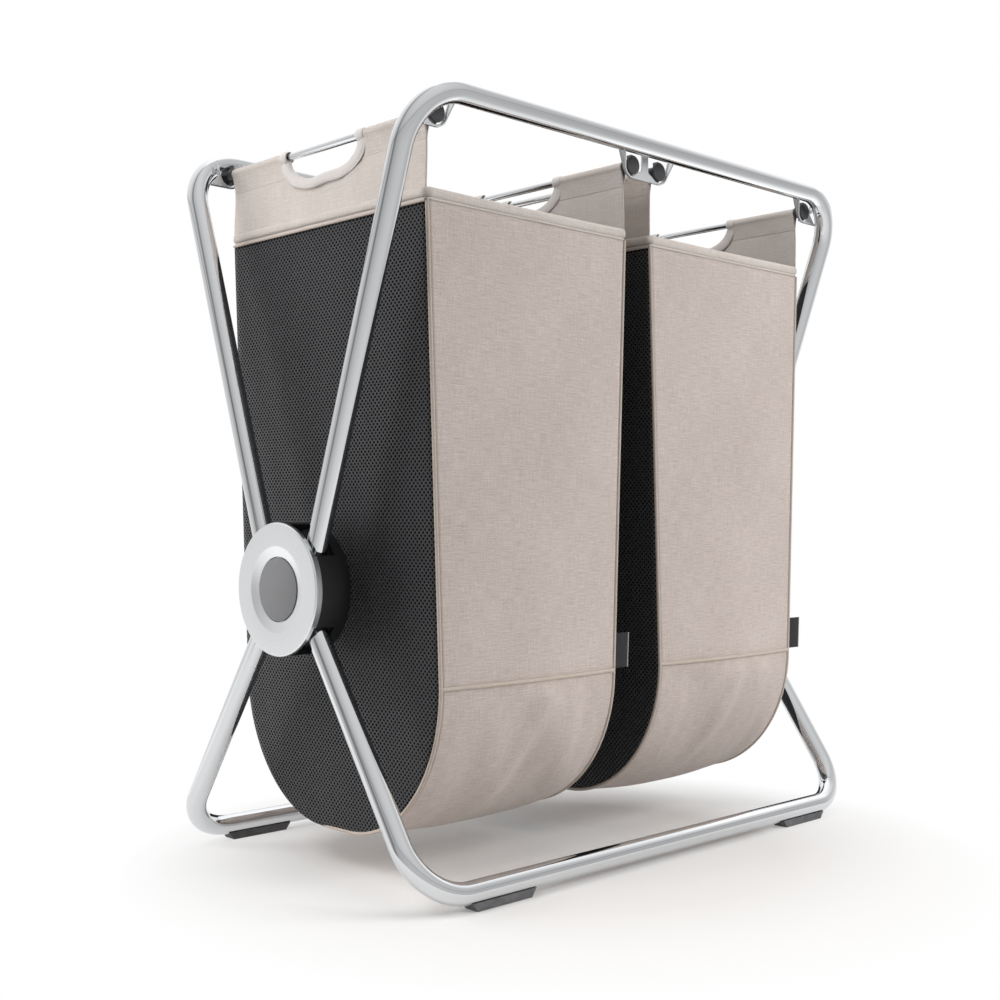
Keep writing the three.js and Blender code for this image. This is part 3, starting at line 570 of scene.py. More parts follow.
hubs = {
    "radius": 66.6 * mm,
    "faceX": 363 * mm,
    "chamfer": 1.2 * mm,
    "rimBackX": 358 * mm,
    "skirt": 2.4 * mm,
    "coverBackX": 357 * mm,
    "wall": 5 * mm,
    "play": 0.3 * mm,  # between cover and housing
    "housingBackX": 320 * mm,
    "housingEdge": (1.5 * mm, 0.45 * mm),
    "base": 3 * mm,
    "bossRadius": 12.3 * mm,
    "bossEndX": 353.35 * mm,
    "innerBossEndX": 336.5 * mm,
    "boreRadius": 4.3 * mm,
    "recessX": 355.85 * mm,
    "dish": [(0, 3), (0.2, 2.75)],  # mm out from its wall, and in from the face
    "slopeRadius": 43.2 * mm,
    "slope": [(-1.6, 0.45), (-0.9, 0.22), (-0.3, 0.07), (0.4, 0)],  # the same, from slopeRadius
    "rim": [(-0.3, 0), (0, 0.1), (1.1, 1.2), (1.2, 1.5)],  # the same, from the chamfer's start
    "capRadius": 31.7 * mm,
    "capGap": 0.8 * mm,
    "capBackX": 359.35 * mm,
    "capThickness": 1.6 * mm,
    "capEdge": (0.4 * mm, 0.12 * mm),
    "foldTurn": math.radians(19),
    "slotGap": 0.6 * mm,
    "slotMargin": math.radians(0.5),
    "steps": {"ring": 128, "cap": 96, "skirt": 28, "ends": 24, "sides": 32},
}
pivotAxis = (1, 0, 0)
pivotCentre = Vector((0, 0, pivotZ))


def hubPoint(radius, x, side, angle=0):
    return pivotCentre + Vector((side * x, radius * math.cos(angle), radius * math.sin(angle)))


# where a tube's slot in the housing ends, as angles from upright, with the frame open and folded
def slotAngles(sizes):
    along = legLine(sizes, 1)[1]
    lean = math.atan2(abs(along.y), abs(along.z))
    off = sizes["offset"] * math.cos(lean)
    half = tubes["radius"] + hubs["slotGap"]
    opened = lean + math.asin((off + half) / (hubs["radius"] - hubs["wall"])) + hubs["slotMargin"]
    folded = lean + math.asin((off - half) / hubs["radius"]) - hubs["foldTurn"] - hubs["slotMargin"]
    return opened, folded


def hubRing(bm, profile, side, steps):
    points = [hubPoint(radius, x, side) for radius, x in profile]
    spunProfile(bm, points, pivotCentre, pivotAxis, steps)


# a closed profile in radius and X, spun through each of some parts of a turn
def hubSectors(bm, corners, side, sectors, steps):
    for fromAngle, toAngle in sectors:
        verts = [bm.verts.new(hubPoint(radius, x, side, fromAngle)) for radius, x in corners]
        face = bm.faces.new(verts)
        spun(bm, verts + list(face.edges) + [face], pivotCentre, pivotAxis, toAngle - fromAngle, steps)


def makeHub(sideName, side):
    h = hubs
    radius, face, bore, boss = h["radius"], h["faceX"], h["boreRadius"], h["bossRadius"]
    inner, rimBack = radius - h["wall"], h["rimBackX"]
    upperOpened, upperFolded = slotAngles(tubes["top"])
    lowerOpened, lowerFolded = slotAngles(tubes["bottom"])
    sideFrom, sideTo = lowerOpened - quarter, quarter - upperOpened
    sides = ((sideFrom, sideTo), (math.pi - sideTo, math.pi - sideFrom))

    bm = bmesh.new()
    dish = h["capRadius"] + h["capGap"]
    cover = [(bore, h["bossEndX"]), (bore, h["recessX"]), (dish, h["recessX"])]
    for start, steps in ((dish, "dish"), (h["slopeRadius"], "slope"), (radius - h["chamfer"], "rim")):
        cover += [(start + out * mm, face - down * mm) for out, down in h[steps]]
    cover += [(radius, rimBack), (inner - h["play"], rimBack), (inner - h["play"], h["coverBackX"])]
    cover += [(boss, h["coverBackX"]), (boss, h["bossEndX"]), (bore, h["bossEndX"])]
    hubRing(bm, cover, side, h["steps"]["ring"])
    low, high, within = rimBack - h["skirt"], rimBack + h["play"], inner + h["play"]
    skirt = [(within, low), (radius, low), (radius, high), (within, high)]
    hubSectors(bm, skirt, side, sides, h["steps"]["skirt"])
    node = f"hub_cover_{sideName}"
    newPiece(f"hubDisc_{sideName}", tidied(bm), satinDisc, "hub_pivots", (node,), 18)

    bm = bmesh.new()
    back, front = h["capBackX"], h["capBackX"] + h["capThickness"]
    cap = [(0, back), (h["capRadius"], back)]
    cap += cutCorner(h["capRadius"], front, -1, h["capEdge"])[::-1] + [(0, front)]
    hubRing(bm, cap, side, h["steps"]["cap"])
    node = f"hub_cap_{sideName}"
    newPiece(f"hubCap_{sideName}", tidied(bm), capPlastic, "hub_pivots", (node,), 50)

    bm = bmesh.new()
    back = h["housingBackX"]
    base = back + h["base"]
    slot = tubes["legX"] - tubes["radius"] - h["slotGap"]
    drum = [(bore, back)] + cutCorner(radius, back, 1, h["housingEdge"])
    drum += [(radius, slot), (inner, slot), (inner, base), (boss, base)]
    drum += [(boss, h["innerBossEndX"]), (bore, h["innerBossEndX"]), (bore, back)]
    hubRing(bm, drum, side, h["steps"]["ring"])
    ends = (
        (quarter - upperFolded, quarter + upperFolded),
        (-quarter - lowerFolded, -quarter + lowerFolded),
    )
    end = rimBack - h["play"]
    for top, sectors, steps in ((end, ends, "ends"), (end - h["skirt"], sides, "sides")):
        wall = [(inner, slot), (radius, slot), (radius, top), (inner, top)]
        hubSectors(bm, wall, side, sectors, h["steps"][steps])
    node = f"hub_housing_{sideName}"
    newPiece(f"hubDrum_{sideName}", tidied(bm), hubPlastic, "hub_pivots", (node,))


for sideName, side in (("left", -1), ("right", 1)):
    makeHub(sideName, side)
print("hubs made")


# Rods and their finned plugs

rods = {
    "radius": 4 * mm,
    "z": 742.2 * mm,
    "reach": 171.2 * mm,
    "chamfer": 0.6 * mm,
    "outerX": 304 * mm,
    "innerX": 22 * mm,
    "steps": 40,
}
plugs = {
    "faceY": 174 * mm,
    "faceThickness": 2.1 * mm,
    "faceRadius": 10.2 * mm,
    "faceEdge": (0.8 * mm, 0.25 * mm),
    "faceBackEdge": 0.3 * mm,
    "finRadius": 11.2 * mm,
    "finThickness": 3 * mm,
    "finLength": 6.8 * mm,
    "finEdge": 0.5 * mm,
    "stemRadius": 6.4 * mm,
    "stemEdge": 0.5 * mm,
    "stemStartY": 160.3 * mm,
    "boreDepth": 2 * mm,
    "boreGap": 0.3 * mm,
    "steps": 48,
}


def makeRod(name, node, body, x):
    bm = bmesh.new()
    radius, half, edge = rods["radius"], rods["reach"], rods["chamfer"]
    profile = [(0, -half), (radius - edge, -half), (radius, -half + edge)]
    profile += [(radius, half - edge), (radius - edge, half), (0, half)]
    points = [Vector((x + out, y, rods["z"])) for out, y in profile]
    spunProfile(bm, points, Vector((x, 0, rods["z"])), (0, 1, 0), rods["steps"])
    newPiece(name, tidied(bm), chrome, body, (node,), 50)


def makePlug(name, node, body, x, side):
    p = plugs
    bm = bmesh.new()
    centre = Vector((x, 0, rods["z"]))
    faceBack = p["faceY"] - p["faceThickness"]
    face, stem, start = p["faceRadius"], p["stemRadius"], p["stemStartY"]
    bore, edge, backEdge = rods["radius"] + p["boreGap"], p["stemEdge"], p["faceBackEdge"]
    profile = [(0, start + p["boreDepth"]), (bore, start + p["boreDepth"]), (bore, start)]
    profile += [(stem - edge, start), (stem, start + edge), (stem, faceBack)]
    profile += [(face - backEdge, faceBack), (face, faceBack + backEdge)]
    profile += cutCorner(face, p["faceY"], -1, p["faceEdge"])[::-1] + [(0, p["faceY"])]
    points = [centre + Vector((radius, side * y, 0)) for radius, y in profile]
    spunProfile(bm, points, centre, (0, 1, 0), p["steps"])
    middle = centre + Vector((0, side * (faceBack - p["finLength"] / 2), 0))
    across, thick = p["finRadius"] * 2, p["finThickness"]
    for wide, tall in ((across, thick), (thick, across)):
        placed = Matrix.Translation(middle) @ Matrix.Diagonal((wide, p["finLength"], tall, 1))
        made = bmesh.ops.create_cube(bm, size=1, matrix=placed)
        edges = list({edge for vert in made["verts"] for edge in vert.link_edges})
        bmesh.ops.bevel(
            bm,
            geom=edges,
            offset=p["finEdge"],
            affect="EDGES",
            segments=2,
            profile=0.5,
            material=-1,
            clamp_overlap=True,
        )
    newPiece(name, tidied(bm, 0.001 * mm), plugPlastic, body, (node,), 40)


# Cradles of pressed sheet under the top rails: a web with a flange round it, and a post or a gusset

cradles = {
    "webBackY": 170.1 * mm,
    "sheet": 1.5 * mm,
    "topZ": 757 * mm,
    "topHalf": 20.5 * mm,
    "seatRadius": 11.5 * mm,
    "rim": 2.7 * mm,
    # the flange's depth by height from the rod
    "depths": [(-14.2 * mm, 3 * mm), (4 * mm, 5 * mm), (14.8 * mm, 9.5 * mm)],
    "postHalf": 5.5 * mm,
    "postFoot": 3 * mm,
    "postEase": (0.5 * mm, 1 * mm),  # the foot's corner, across and up
    "tabHalf": 6.5 * mm,
    "gussetReach": 26 * mm,
    "gussetHeight": 13.2 * mm,
    "gussetLean": 11.5 * mm,
    "flankStart": 0.2,  # share of the outer flank that the gusset takes
    "flankTopZ": 746.5 * mm,  # of the outer flank, where it meets the rail's bend
    "overrun": 2 * mm,  # into the rail that it is welded to
    "edge": 0.3 * mm,
    "steps": 14,
}
cupRadius = cradles["seatRadius"] + cradles["rim"]
cupTop = cradles["topZ"] - rods["z"]
flankLean = math.acos(cupRadius / math.hypot(cradles["topHalf"], cupTop))
flankTurn = math.atan2(cupTop, cradles["topHalf"]) - flankLean


def arc(radius, fromTurn, toTurn):
    steps = cradles["steps"]
    turns = [fromTurn + (toTurn - fromTurn) * i / steps for i in range(steps + 1)]
    return [(radius * math.cos(turn), radius * math.sin(turn)) for turn in turns]


# half of a cup's outline from its bottom round to the top of its flank, as X and Z from the rod
def cupHalf(inset):
    points = arc(cupRadius - inset, -quarter, flankTurn)
    x, z = points[-1]
    return points + [(x - (cupTop - z) * math.tan(flankTurn), cupTop)]


# a point of the outline's last stretch, by its share of the way up
def flankPoint(line, share):
    (x0, z0), (x1, z1) = line[-2:]
    return x0 + (x1 - x0) * share, z0 + (z1 - z0) * share


def flankEnd(line):
    low, high = line[-2][1], line[-1][1]
    return flankPoint(line, (cradles["flankTopZ"] - rods["z"] - low) / (high - low))


def outerHalf(hasGusset):
    c = cradles
    half = cupHalf(0)
    if hasGusset:
        corner = (c["gussetReach"] - c["gussetLean"], c["gussetHeight"] - cupRadius)
        half = [(0, -cupRadius), (c["gussetReach"], -cupRadius), corner, flankEnd(half)]
    return half


def seatHalf(hasPost):
    c = cradles
    if not hasPost:
        return cupHalf(c["rim"])
    reach = rods["innerX"] - c["postHalf"]
    across, up = c["postEase"]
    foot = [(reach - across, -c["postFoot"] - up), (reach, -c["postFoot"] + up), (reach, cupTop)]
    return arc(c["seatRadius"], -quarter, -quarter / 2) + foot


def flangeDepth(z):
    low, middle, high = cradles["depths"]
    (z0, d0), (z1, d1) = (low, middle) if z < middle[0] else (middle, high)
    return d0 + (d1 - d0) * (z - z0) / (z1 - z0)


def makeCradle(name, node, body, rodXs, side):
    c = cradles
    first, last = rodXs[0], rodXs[-1]
    outward = 0 if len(rodXs) > 1 else math.copysign(1, first)

    def spot(x, z, depth):
        return Vector((x, side * (c["webBackY"] + depth), rods["z"] + z))

    bm = bmesh.new()
    web = [(first - x, z) for x, z in outerHalf(outward < 0)[::-1]]
    web += [(last + x, z) for x, z in outerHalf(outward > 0)]
    for rodX in rodXs[::-1]:
        web += [(rodX + x, z) for x, z in seatHalf(rodX != last)[::-1]]
        web += [(rodX - x, z) for x, z in seatHalf(rodX != first)]
    face = bm.faces.new([bm.verts.new(spot(x, z, 0)) for x, z in web])
    grown = bmesh.ops.extrude_face_region(bm, geom=[face])["geom"]
    moved = [item for item in grown if isinstance(item, bmesh.types.BMVert)]
    bmesh.ops.translate(bm, verts=moved, vec=(0, side * c["sheet"], 0))
    tidied(bm)

    def flange(outer, inner):
        last = len(outer) - 1

        def place(u, v):
            corner = round(v * 4) % 4  # round the sheet's section: outer side first, then inner
            x, z = (outer, inner)[corner in (2, 3)][round(u * last)]
            return spot(x, z, flangeDepth(z) if corner in (1, 2) else 0.0)

        strip = bmesh.new()
        laidGrid(strip, last, 4, place)
        tidied(strip)
        bmesh.ops.holes_fill(strip, edges=[edge for edge in strip.edges if edge.is_boundary])
        bmesh.ops.recalc_face_normals(strip, faces=strip.faces)
        mesh = bpy.data.meshes.new("flange")
        strip.to_mesh(mesh)
        strip.free()
        bm.from_mesh(mesh)
        bpy.data.meshes.remove(mesh)

    outer, inner = cupHalf(0), cupHalf(c["sheet"])
    reach, lift = c["gussetReach"], c["sheet"] - cupRadius
    flat = ([(0, -cupRadius), (reach, -cupRadius)], [(0, lift), (reach, lift)])
    halves = []
    for rodX, direction in ((first, -1), (last, 1)):
        pair = flat if direction == outward else (outer, inner)
        halves.append([[(rodX + direction * x, z) for x, z in line] for line in pair])
    flange(*[left[:0:-1] + right for left, right in zip(*halves)])
    if outward:
        ends = []
        for line in (outer, inner):
            pair = (flankPoint(line, c["flankStart"]), flankEnd(line))
            ends.append([(first + outward * x, z) for x, z in pair])
        flange(*ends)
    else:
        deep = c["depths"][2][1] + c["overrun"]
        middle = spot(0, cupTop - c["sheet"] / 2, deep / 2)
        tab = Matrix.Diagonal((c["tabHalf"] * 2, deep, c["sheet"], 1))
        bmesh.ops.create_cube(bm, size=1, matrix=Matrix.Translation(middle) @ tab)
    piece = newPiece(name, bm, polishedSheet, body, (node,), 30)
    softened(piece, c["edge"], 50)


cradleRods = {
    "left": (-rods["outerX"],),
    "middle": (-rods["innerX"], rods["innerX"]),
    "right": (rods["outerX"],),
}
for place, side, body in (("front", -1, "frame_a"), ("rear", 1, "frame_b")):
    for where, rodXs in cradleRods.items():
        makeCradle(f"pressedCradle_{place}_{where}", f"cradle_{place}_{where}", body, rodXs, side)
print("cradles made")


# Cloth: both bags share these sizes

bagSizes = {
    "centreX": 163 * mm,
    "halfWidth": 141 * mm,
    "taper": 17.5 * mm,
    "halfDepth": 160 * mm,
    "seamZ": 200.5 * mm,
    "bottomZ": 43.5 * mm,
    "flatHalf": 20 * mm,
    "hemBottomZ": 662.5 * mm,
    "setback": 1.4 * mm,  # cloth edge to the piping's centre
    "canvas": 1.2 * mm,
    "knit": 1.8 * mm,
    "straightSteps": 28,
    "roundSteps": 40,
    "wrapGrid": (64, 190),
}


# a piece on a bag: where is its end and side, and stands is the solid there that it takes the place of
def bagPiece(name, where, bm, material, stands="", sharpAt=80):
    body = f"bag_{where.split('_')[-1]}"
    nodes = (f"{stands}_{where}",) if stands else ()
    return newPiece(f"{name}_{where}", bm, material, body, nodes, sharpAt)


def halfWidthAt(z):
    b = bagSizes
    share = min(1, max(0, (z - b["seamZ"]) / (b["hemBottomZ"] - b["seamZ"])))
    return b["halfWidth"] - b["taper"] * (1 - share)


# stations down one side of the bag, as Y, Z and the way out
def outlineStations():
    b = bagSizes
    depth, topZ, fall = b["halfDepth"], b["hemBottomZ"], b["seamZ"] - b["hemBottomZ"]
    steps = b["straightSteps"]
    stations = [(depth, topZ + fall * i / steps, 1, 0) for i in range(steps)]
    radiusY, radiusZ = depth - b["flatHalf"], b["seamZ"] - b["bottomZ"]
    for i in range(b["roundSteps"] + 1):
        turn = quarter * i / b["roundSteps"]
        out = Vector((math.cos(turn) / radiusY, math.sin(turn) / radiusZ)).normalized()
        y = b["flatHalf"] + radiusY * math.cos(turn)
        stations.append((y, b["seamZ"] - radiusZ * math.sin(turn), out.x, -out.y))
    return stations


def measured(stations):
    return stations, lengthsAlong([Vector(station[:2]) for station in stations])


downOneSide = outlineStations()
halfOutline = measured(downOneSide)
fullOutline = measured([(-y, z, -outY, outZ) for y, z, outY, outZ in downOneSide] + downOneSide[::-1])


# the station at a share of an outline's length
def stationAt(outline, share):
    stations, lengths = outline
    at = share * lengths[-1]
    index = min(max(bisect.bisect_right(lengths, at) - 1, 0), len(stations) - 2)
    part = (at - lengths[index]) / (lengths[index + 1] - lengths[index])
    return [a + (b - a) * part for a, b in zip(stations[index], stations[index + 1])]


billows = {
    "bulge": 7 * mm,
    "slack": 1.3 * mm,
    "slackRates": (11, 6),  # across and up, per metre
    "slackGrowth": 3,
    "edgeFade": 4,
    "fold": 5 * mm,  # folds, ripples and the crease are under the seam
    "foldRates": (16, 4),
    "foldSlant": 0.5625,
    "ripple": 1.2 * mm,
    "rippleRates": (46, 7),
    "crease": 3.4 * mm,  # a slanting ridge with a hollow beside it
    "creaseX": 22 * mm,
    "creaseLean": 0.42,
    "creaseWidth": 13 * mm,
    "hollowX": 26 * mm,
    "hollowWidth": 16 * mm,
    "hollowShare": 0.7,
    "settle": (22 * mm, 60 * mm),  # the folds fade out over these, up to the seam and down to the bottom
    "lip": (1.1 * mm, 16 * mm),  # above the seam: how far out, and over which height
    "pinch": (2.3 * mm, 4 * mm),  # at the seam: how far in, and over which height
    "pinchFade": 6,
}


# how far the hanging cloth stands out of its outline
def billow(x, share, y, z, seed):
    b, f = bagSizes, billows
    above = z - b["seamZ"]
    drop = min(1, (b["hemBottomZ"] - z) / (b["hemBottomZ"] - b["seamZ"]))
    freedom = 1 - share * share
    slack = f["slack"] * wavering(x, z, f["slackRates"], seed + y)
    out = freedom * (f["bulge"] * drop + slack * eased(drop * f["slackGrowth"]))
    edge = min(1, freedom * f["edgeFade"])
    if above < 0:
        up, down = f["settle"]
        below = eased(-above / up) * eased((z - b["bottomZ"]) / down)
        sideSeed = seed * 2 + 3 * math.copysign(1, y)
        folds = f["fold"] * wavering(x + z * f["foldSlant"], z, f["foldRates"], sideSeed)
        folds += f["ripple"] * wavering(x, z, f["rippleRates"], seed)
        lean = x - f["creaseX"] - above * f["creaseLean"]
        hollow = f["hollowShare"] * bell((lean - f["hollowX"]) / f["hollowWidth"])
        folds += f["crease"] * (bell(lean / f["creaseWidth"]) - hollow)
        out += folds * below * edge
    else:
        lip, height = f["lip"]
        out += lip * math.exp(-above / height) * edge
    pinch, height = f["pinch"]
    return out - pinch * bell(above / height) * min(1, freedom * f["pinchFade"])


def wrapPoint(xShare, station, centreX, seed):
    y, z, outY, outZ = station
    x = xShare * (halfWidthAt(z) - bagSizes["setback"])
    out = billow(x, xShare, y, z, seed)
    return Vector((centreX + x, y + out * outY, z + out * outZ))


def makeWrap(sideName, centreX, seed):
    bm = bmesh.new()

    def place(u, v):
        return wrapPoint(2 * u - 1, stationAt(fullOutline, v), centreX, seed)

    laidGrid(bm, *bagSizes["wrapGrid"], place, (2 * bagSizes["halfWidth"], fullOutline[1][-1]))
    piece = bagPiece("clothWrap", sideName, bm, canvas, "bag_wrap")
    thickened(piece, bagSizes["canvas"])


seams = {
    "radius": 2 * mm,
    "proud": 1.9 * mm,
    "sunk": 1.5 * mm,  # how much deeper the ends lie, under the corner piping
    "sunkPower": 40,
    "overreach": 1.01,
    "steps": 48,
    "sides": 10,
}


# piped seam across the front and the back, where the rounded lower part is sewn on
def makeSeams(sideName, centreX, seed):
    s = seams
    bm = bmesh.new()
    for side in (-1, 1):
        station = (side * bagSizes["halfDepth"], bagSizes["seamZ"], side, 0)
        points = []
        for i in range(s["steps"] + 1):
            share = 2 * i / s["steps"] - 1
            proud = s["proud"] - s["sunk"] * abs(share) ** s["sunkPower"]
            point = wrapPoint(s["overreach"] * share, station, centreX, seed)
            points.append(point + Vector((0, side * proud, 0)))
        cordAlong(bm, points, s["radius"], s["sides"])
    bagPiece("seamPiping", sideName, tidied(bm), pipingCloth)


panels = {
    "bow": 3.5 * mm,
    "bowGrowth": 6,  # how soon it sets in above the bottom
    "ripple": 1.2 * mm,
    "rippleRates": (3, 8),
    "turning": 2.3 * mm,  # how far its edge comes round the piping behind
    "turnFrom": -50 * mm,  # in Y, where the turning begins
    "turnOver": 110 * mm,
    "grid": (48, 110),
}


# how far the knit's edge is turned over the piping: from nothing in front to all of it behind
def turnedOver(y):
    return eased((y - panels["turnFrom"]) / panels["turnOver"])


def makePanel(end, sideName, centreX, toward, seed):
    b, p = bagSizes, panels
    bm = bmesh.new()

    def place(u, v):
        y, z, outY, outZ = stationAt(halfOutline, 1 - v)
        share = 2 * u - 1
        height = (z - b["bottomZ"]) / (b["hemBottomZ"] - b["bottomZ"])
        ripple = p["ripple"] * wavering(share, z, p["rippleRates"], seed + toward)
        bow = p["bow"] * math.sin(math.pi * min(1, max(0, height))) + ripple
        bow *= (1 - share * share) * eased(height * p["bowGrowth"])
        setback = b["setback"] - p["turning"] * turnedOver(share * y)
        x = centreX + toward * (halfWidthAt(z) + bow)
        return Vector((x, share * (y - setback * outY), z - setback * outZ))

    laidGrid(bm, *p["grid"], place, (2 * b["halfDepth"], halfOutline[1][-1]))
    piece = bagPiece("knitPanel", f"{end}_{sideName}", bm, knitMesh, "mesh_end")
    thickened(piece, b["knit"])


cornerPipings = {
    "radius": 1.9 * mm,
    "aside": (0.4 * mm, 1.9 * mm),  # in front, and how much less behind, where the knit is turned over
    "proud": (0.3 * mm, 0.9 * mm),
    "steps": 170,
    "sides": 12,
}


def makeCornerPiping(end, sideName, centreX, toward):
    c = cornerPipings
    points = []
    for i in range(c["steps"] + 1):
        y, z, outY, outZ = stationAt(fullOutline, i / c["steps"])
        aside, proud = (most - less * turnedOver(y) for most, less in (c["aside"], c["proud"]))
        x = centreX + toward * (halfWidthAt(z) + aside)
        points.append(Vector((x, y + proud * outY, z + proud * outZ)))
    bm = bmesh.new()
    cordAlong(bm, points, c["radius"], c["sides"])
    bagPiece("cornerPiping", f"{end}_{sideName}", tidied(bm), pipingCloth, "piping")


# Hem round the rim: cloth turned over and topstitched near its lower edge

hem = {
    "cornerRadius": 5 * mm,
    "cornerSteps": 7,
    "step": 7 * mm,
    # cross-section in mm, as distance out and Z
    "profile": [(-1.2, 662.9), (-1.5, 664.0), (-1.5, 674.0), (-0.9, 674.8), (0, 675), (0.9, 674.8)]
    + [(1.7, 674.1), (2.25, 672.4), (2.4, 669.6), (2.2, 667.0), (1.5, 665.9), (1.1, 665.3)]
    + [(1.5, 664.6), (1.5, 662.9), (0.6, 662.5), (-0.6, 662.5), (-1.2, 662.9)],
    "fullFrom": 1.2,  # the profile further out than this is fuller at the bag's ends
    "fuller": 0.9,
    "loose": 8 * mm,  # from the front and rear, where the rim hangs free
    "sway": 0.8 * mm,
    "swayRates": (14, 14),
    "dip": 0.6 * mm,
    "dipFrom": 664.2,
    "stitchZ": 665.4 * mm,
    "stitchInset": 6 * mm,
    "stitchOut": (1.35 * mm, 2.4 * mm),  # at the front and rear, and at the ends
}


def rimLoop():
    radius, steps = hem["cornerRadius"], hem["cornerSteps"]
    wide, deep = bagSizes["halfWidth"] - radius, bagSizes["halfDepth"] - radius
    corners = []
    for start, (signX, signY) in enumerate(((1, 1), (-1, 1), (-1, -1), (1, -1))):
        for i in range(steps + 1):
            turn = quarter * (start + i / steps)
            out = Vector((math.cos(turn), math.sin(turn)))
            corners.append(Vector((signX * wide, signY * deep)) + out * radius)
    return corners


def rimSag(point):
    b = bagSizes
    along = max(0, 1 - (point.x / b["halfWidth"]) ** 2)
    return along if abs(point.y) > b["halfDepth"] - hem["loose"] else 0


def straight(start, end, steps):
    return [start.lerp(end, i / steps) for i in range(steps + 1)]


def makeHem(sideName, centreX, seed):
    h = hem
    outline = rimLoop()
    dense = []
    for corner, after in zip(outline, outline[1:] + outline[:1]):
        dense += straight(corner, after, max(1, int((after - corner).length / h["step"])))[:-1]
    dense.append(dense[0])
    last = len(dense) - 1
    profile = h["profile"]

    def place(u, v):
        index = round(u * last)
        point = dense[index]
        along = (dense[(index + 1) % last] - dense[(index - 1) % last]).normalized()
        out = Vector((along.y, -along.x))
        reach, z = profile[round(v * (len(profile) - 1))]
        sag = rimSag(point)
        sway = h["sway"] * sag * wavering(point.x, point.y, h["swayRates"], seed)
        if reach > h["fullFrom"]:
            reach *= 1 + h["fuller"] * abs(out.x)
        spot = point + out * (reach * mm + sway)
        dip = h["dip"] * sag if z > h["dipFrom"] else 0
        return Vector((centreX + spot.x, spot.y, z * mm - dip))

    bm = bmesh.new()
    laidGrid(bm, last, len(profile) - 1, place, (lengthsAlong(dense)[-1], 30 * mm))
    bagPiece("hemBand", sideName, tidied(bm), flapCanvas, "hem_band", sharpAt=60)
    bm = bmesh.new()
    frontOut, endOut = h["stitchOut"]
    for side in (-1, 1):
        for axis, out in ((1, frontOut), (0, endOut)):
            normal, along = Vector((0, 0, 0)), Vector((0, 0, 0))
            normal[axis] = side
            half = (bagSizes["halfWidth"], bagSizes["halfDepth"])
            along[1 - axis] = half[1 - axis] - h["stitchInset"]
            middle = Vector((centreX, 0, h["stitchZ"])) + normal * (half[axis] + out)
            stitchesAlong(bm, straight(middle - along, middle + along, 40), normal)
    bagPiece("hemStitches", sideName, bm, thread)


# End flaps: up from the hem, round the rod in a sleeve, with the handle cut through

flaps = {
    "sheet": 0.9 * mm,
    "columns": 144,
    "lowestZ": (668 * mm, 672 * mm),
    "base": 0.6 * mm,  # how far out its lower part lies, up to where it eases inward
    "easeFrom": 676 * mm,
    "easeOver": 45 * mm,
    # up to the sleeve and down from it, in mm as distance out and Z
    "outside": [(0.2, 724), (0.7, 727.5), (1.5, 731), (2.4, 734.4)],
    "inside": [(-2.9, 736), (-2.1, 732.2), (-1.4, 728.6), (-0.8, 725.2), (-0.25, 722), (0.12, 719.6)],
    "sleeveRadius": 4.85 * mm,
    "sleeveTurn": 40,  # degrees past half a turn, at both sides
    "waves": [(1.5 * mm, (17, 22)), (0.9 * mm, (55, 12))],  # height, and rates along Y and up
    "wavesFrom": (664 * mm, 14 * mm),  # a height, and over how much they grow
    "wavesTo": (731 * mm, 20 * mm),
    "stitchZ": 722.5 * mm,
    "stitchOut": 0.65 * mm,
    "handleHalf": 59 * mm,
    "handleBottomZ": 715 * mm,
    "handleCorner": (36 * mm, 27 * mm),  # along Y and up
    "handleCut": 2.4 * mm,  # how far the cloth ends from the opening, under the tape
    "sagAt": 17 * mm,
    "sagWidth": 15 * mm,
    "sag": 2.2 * mm,
    "handleSteps": (14, 12),  # in each corner and along the bottom
    "piping": {"radius": 1.3 * mm, "sides": 10, "out": 2.1 * mm, "z": 662 * mm},
}


def flapBase(z, over):
    return flaps["base"] * (1 - eased((z - flaps["easeFrom"]) / over))


# cross-section of the flap as distance out and Z, from the hem up, over the rod and back down inside
def flapProfile():
    f = flaps
    points = [(f["base"], z) for z in f["lowestZ"]]
    for i in range(21):
        z = f["easeFrom"] + f["easeOver"] * i / 20
        points.append((flapBase(z, f["easeOver"]), z))
    points += [(out * mm, z * mm) for out, z in f["outside"]]
    for i in range(23):
        turn = math.radians((180 + 2 * f["sleeveTurn"]) * i / 22 - f["sleeveTurn"])
        points.append((f["sleeveRadius"] * math.cos(turn), rods["z"] + f["sleeveRadius"] * math.sin(turn)))
    return points + [(out * mm, z * mm) for out, z in f["inside"]]


def insideHandle(point, grow):
    f = flaps
    aside, bottom = abs(point.y) - f["handleHalf"] - grow, f["handleBottomZ"] - grow
    wide, tall = f["handleCorner"]
    if aside > 0 or point.z < bottom:
        return False
    if point.z < bottom + tall and aside > -wide:
        return math.hypot((aside + wide) / wide, (point.z - bottom - tall) / tall) < 1
    return True


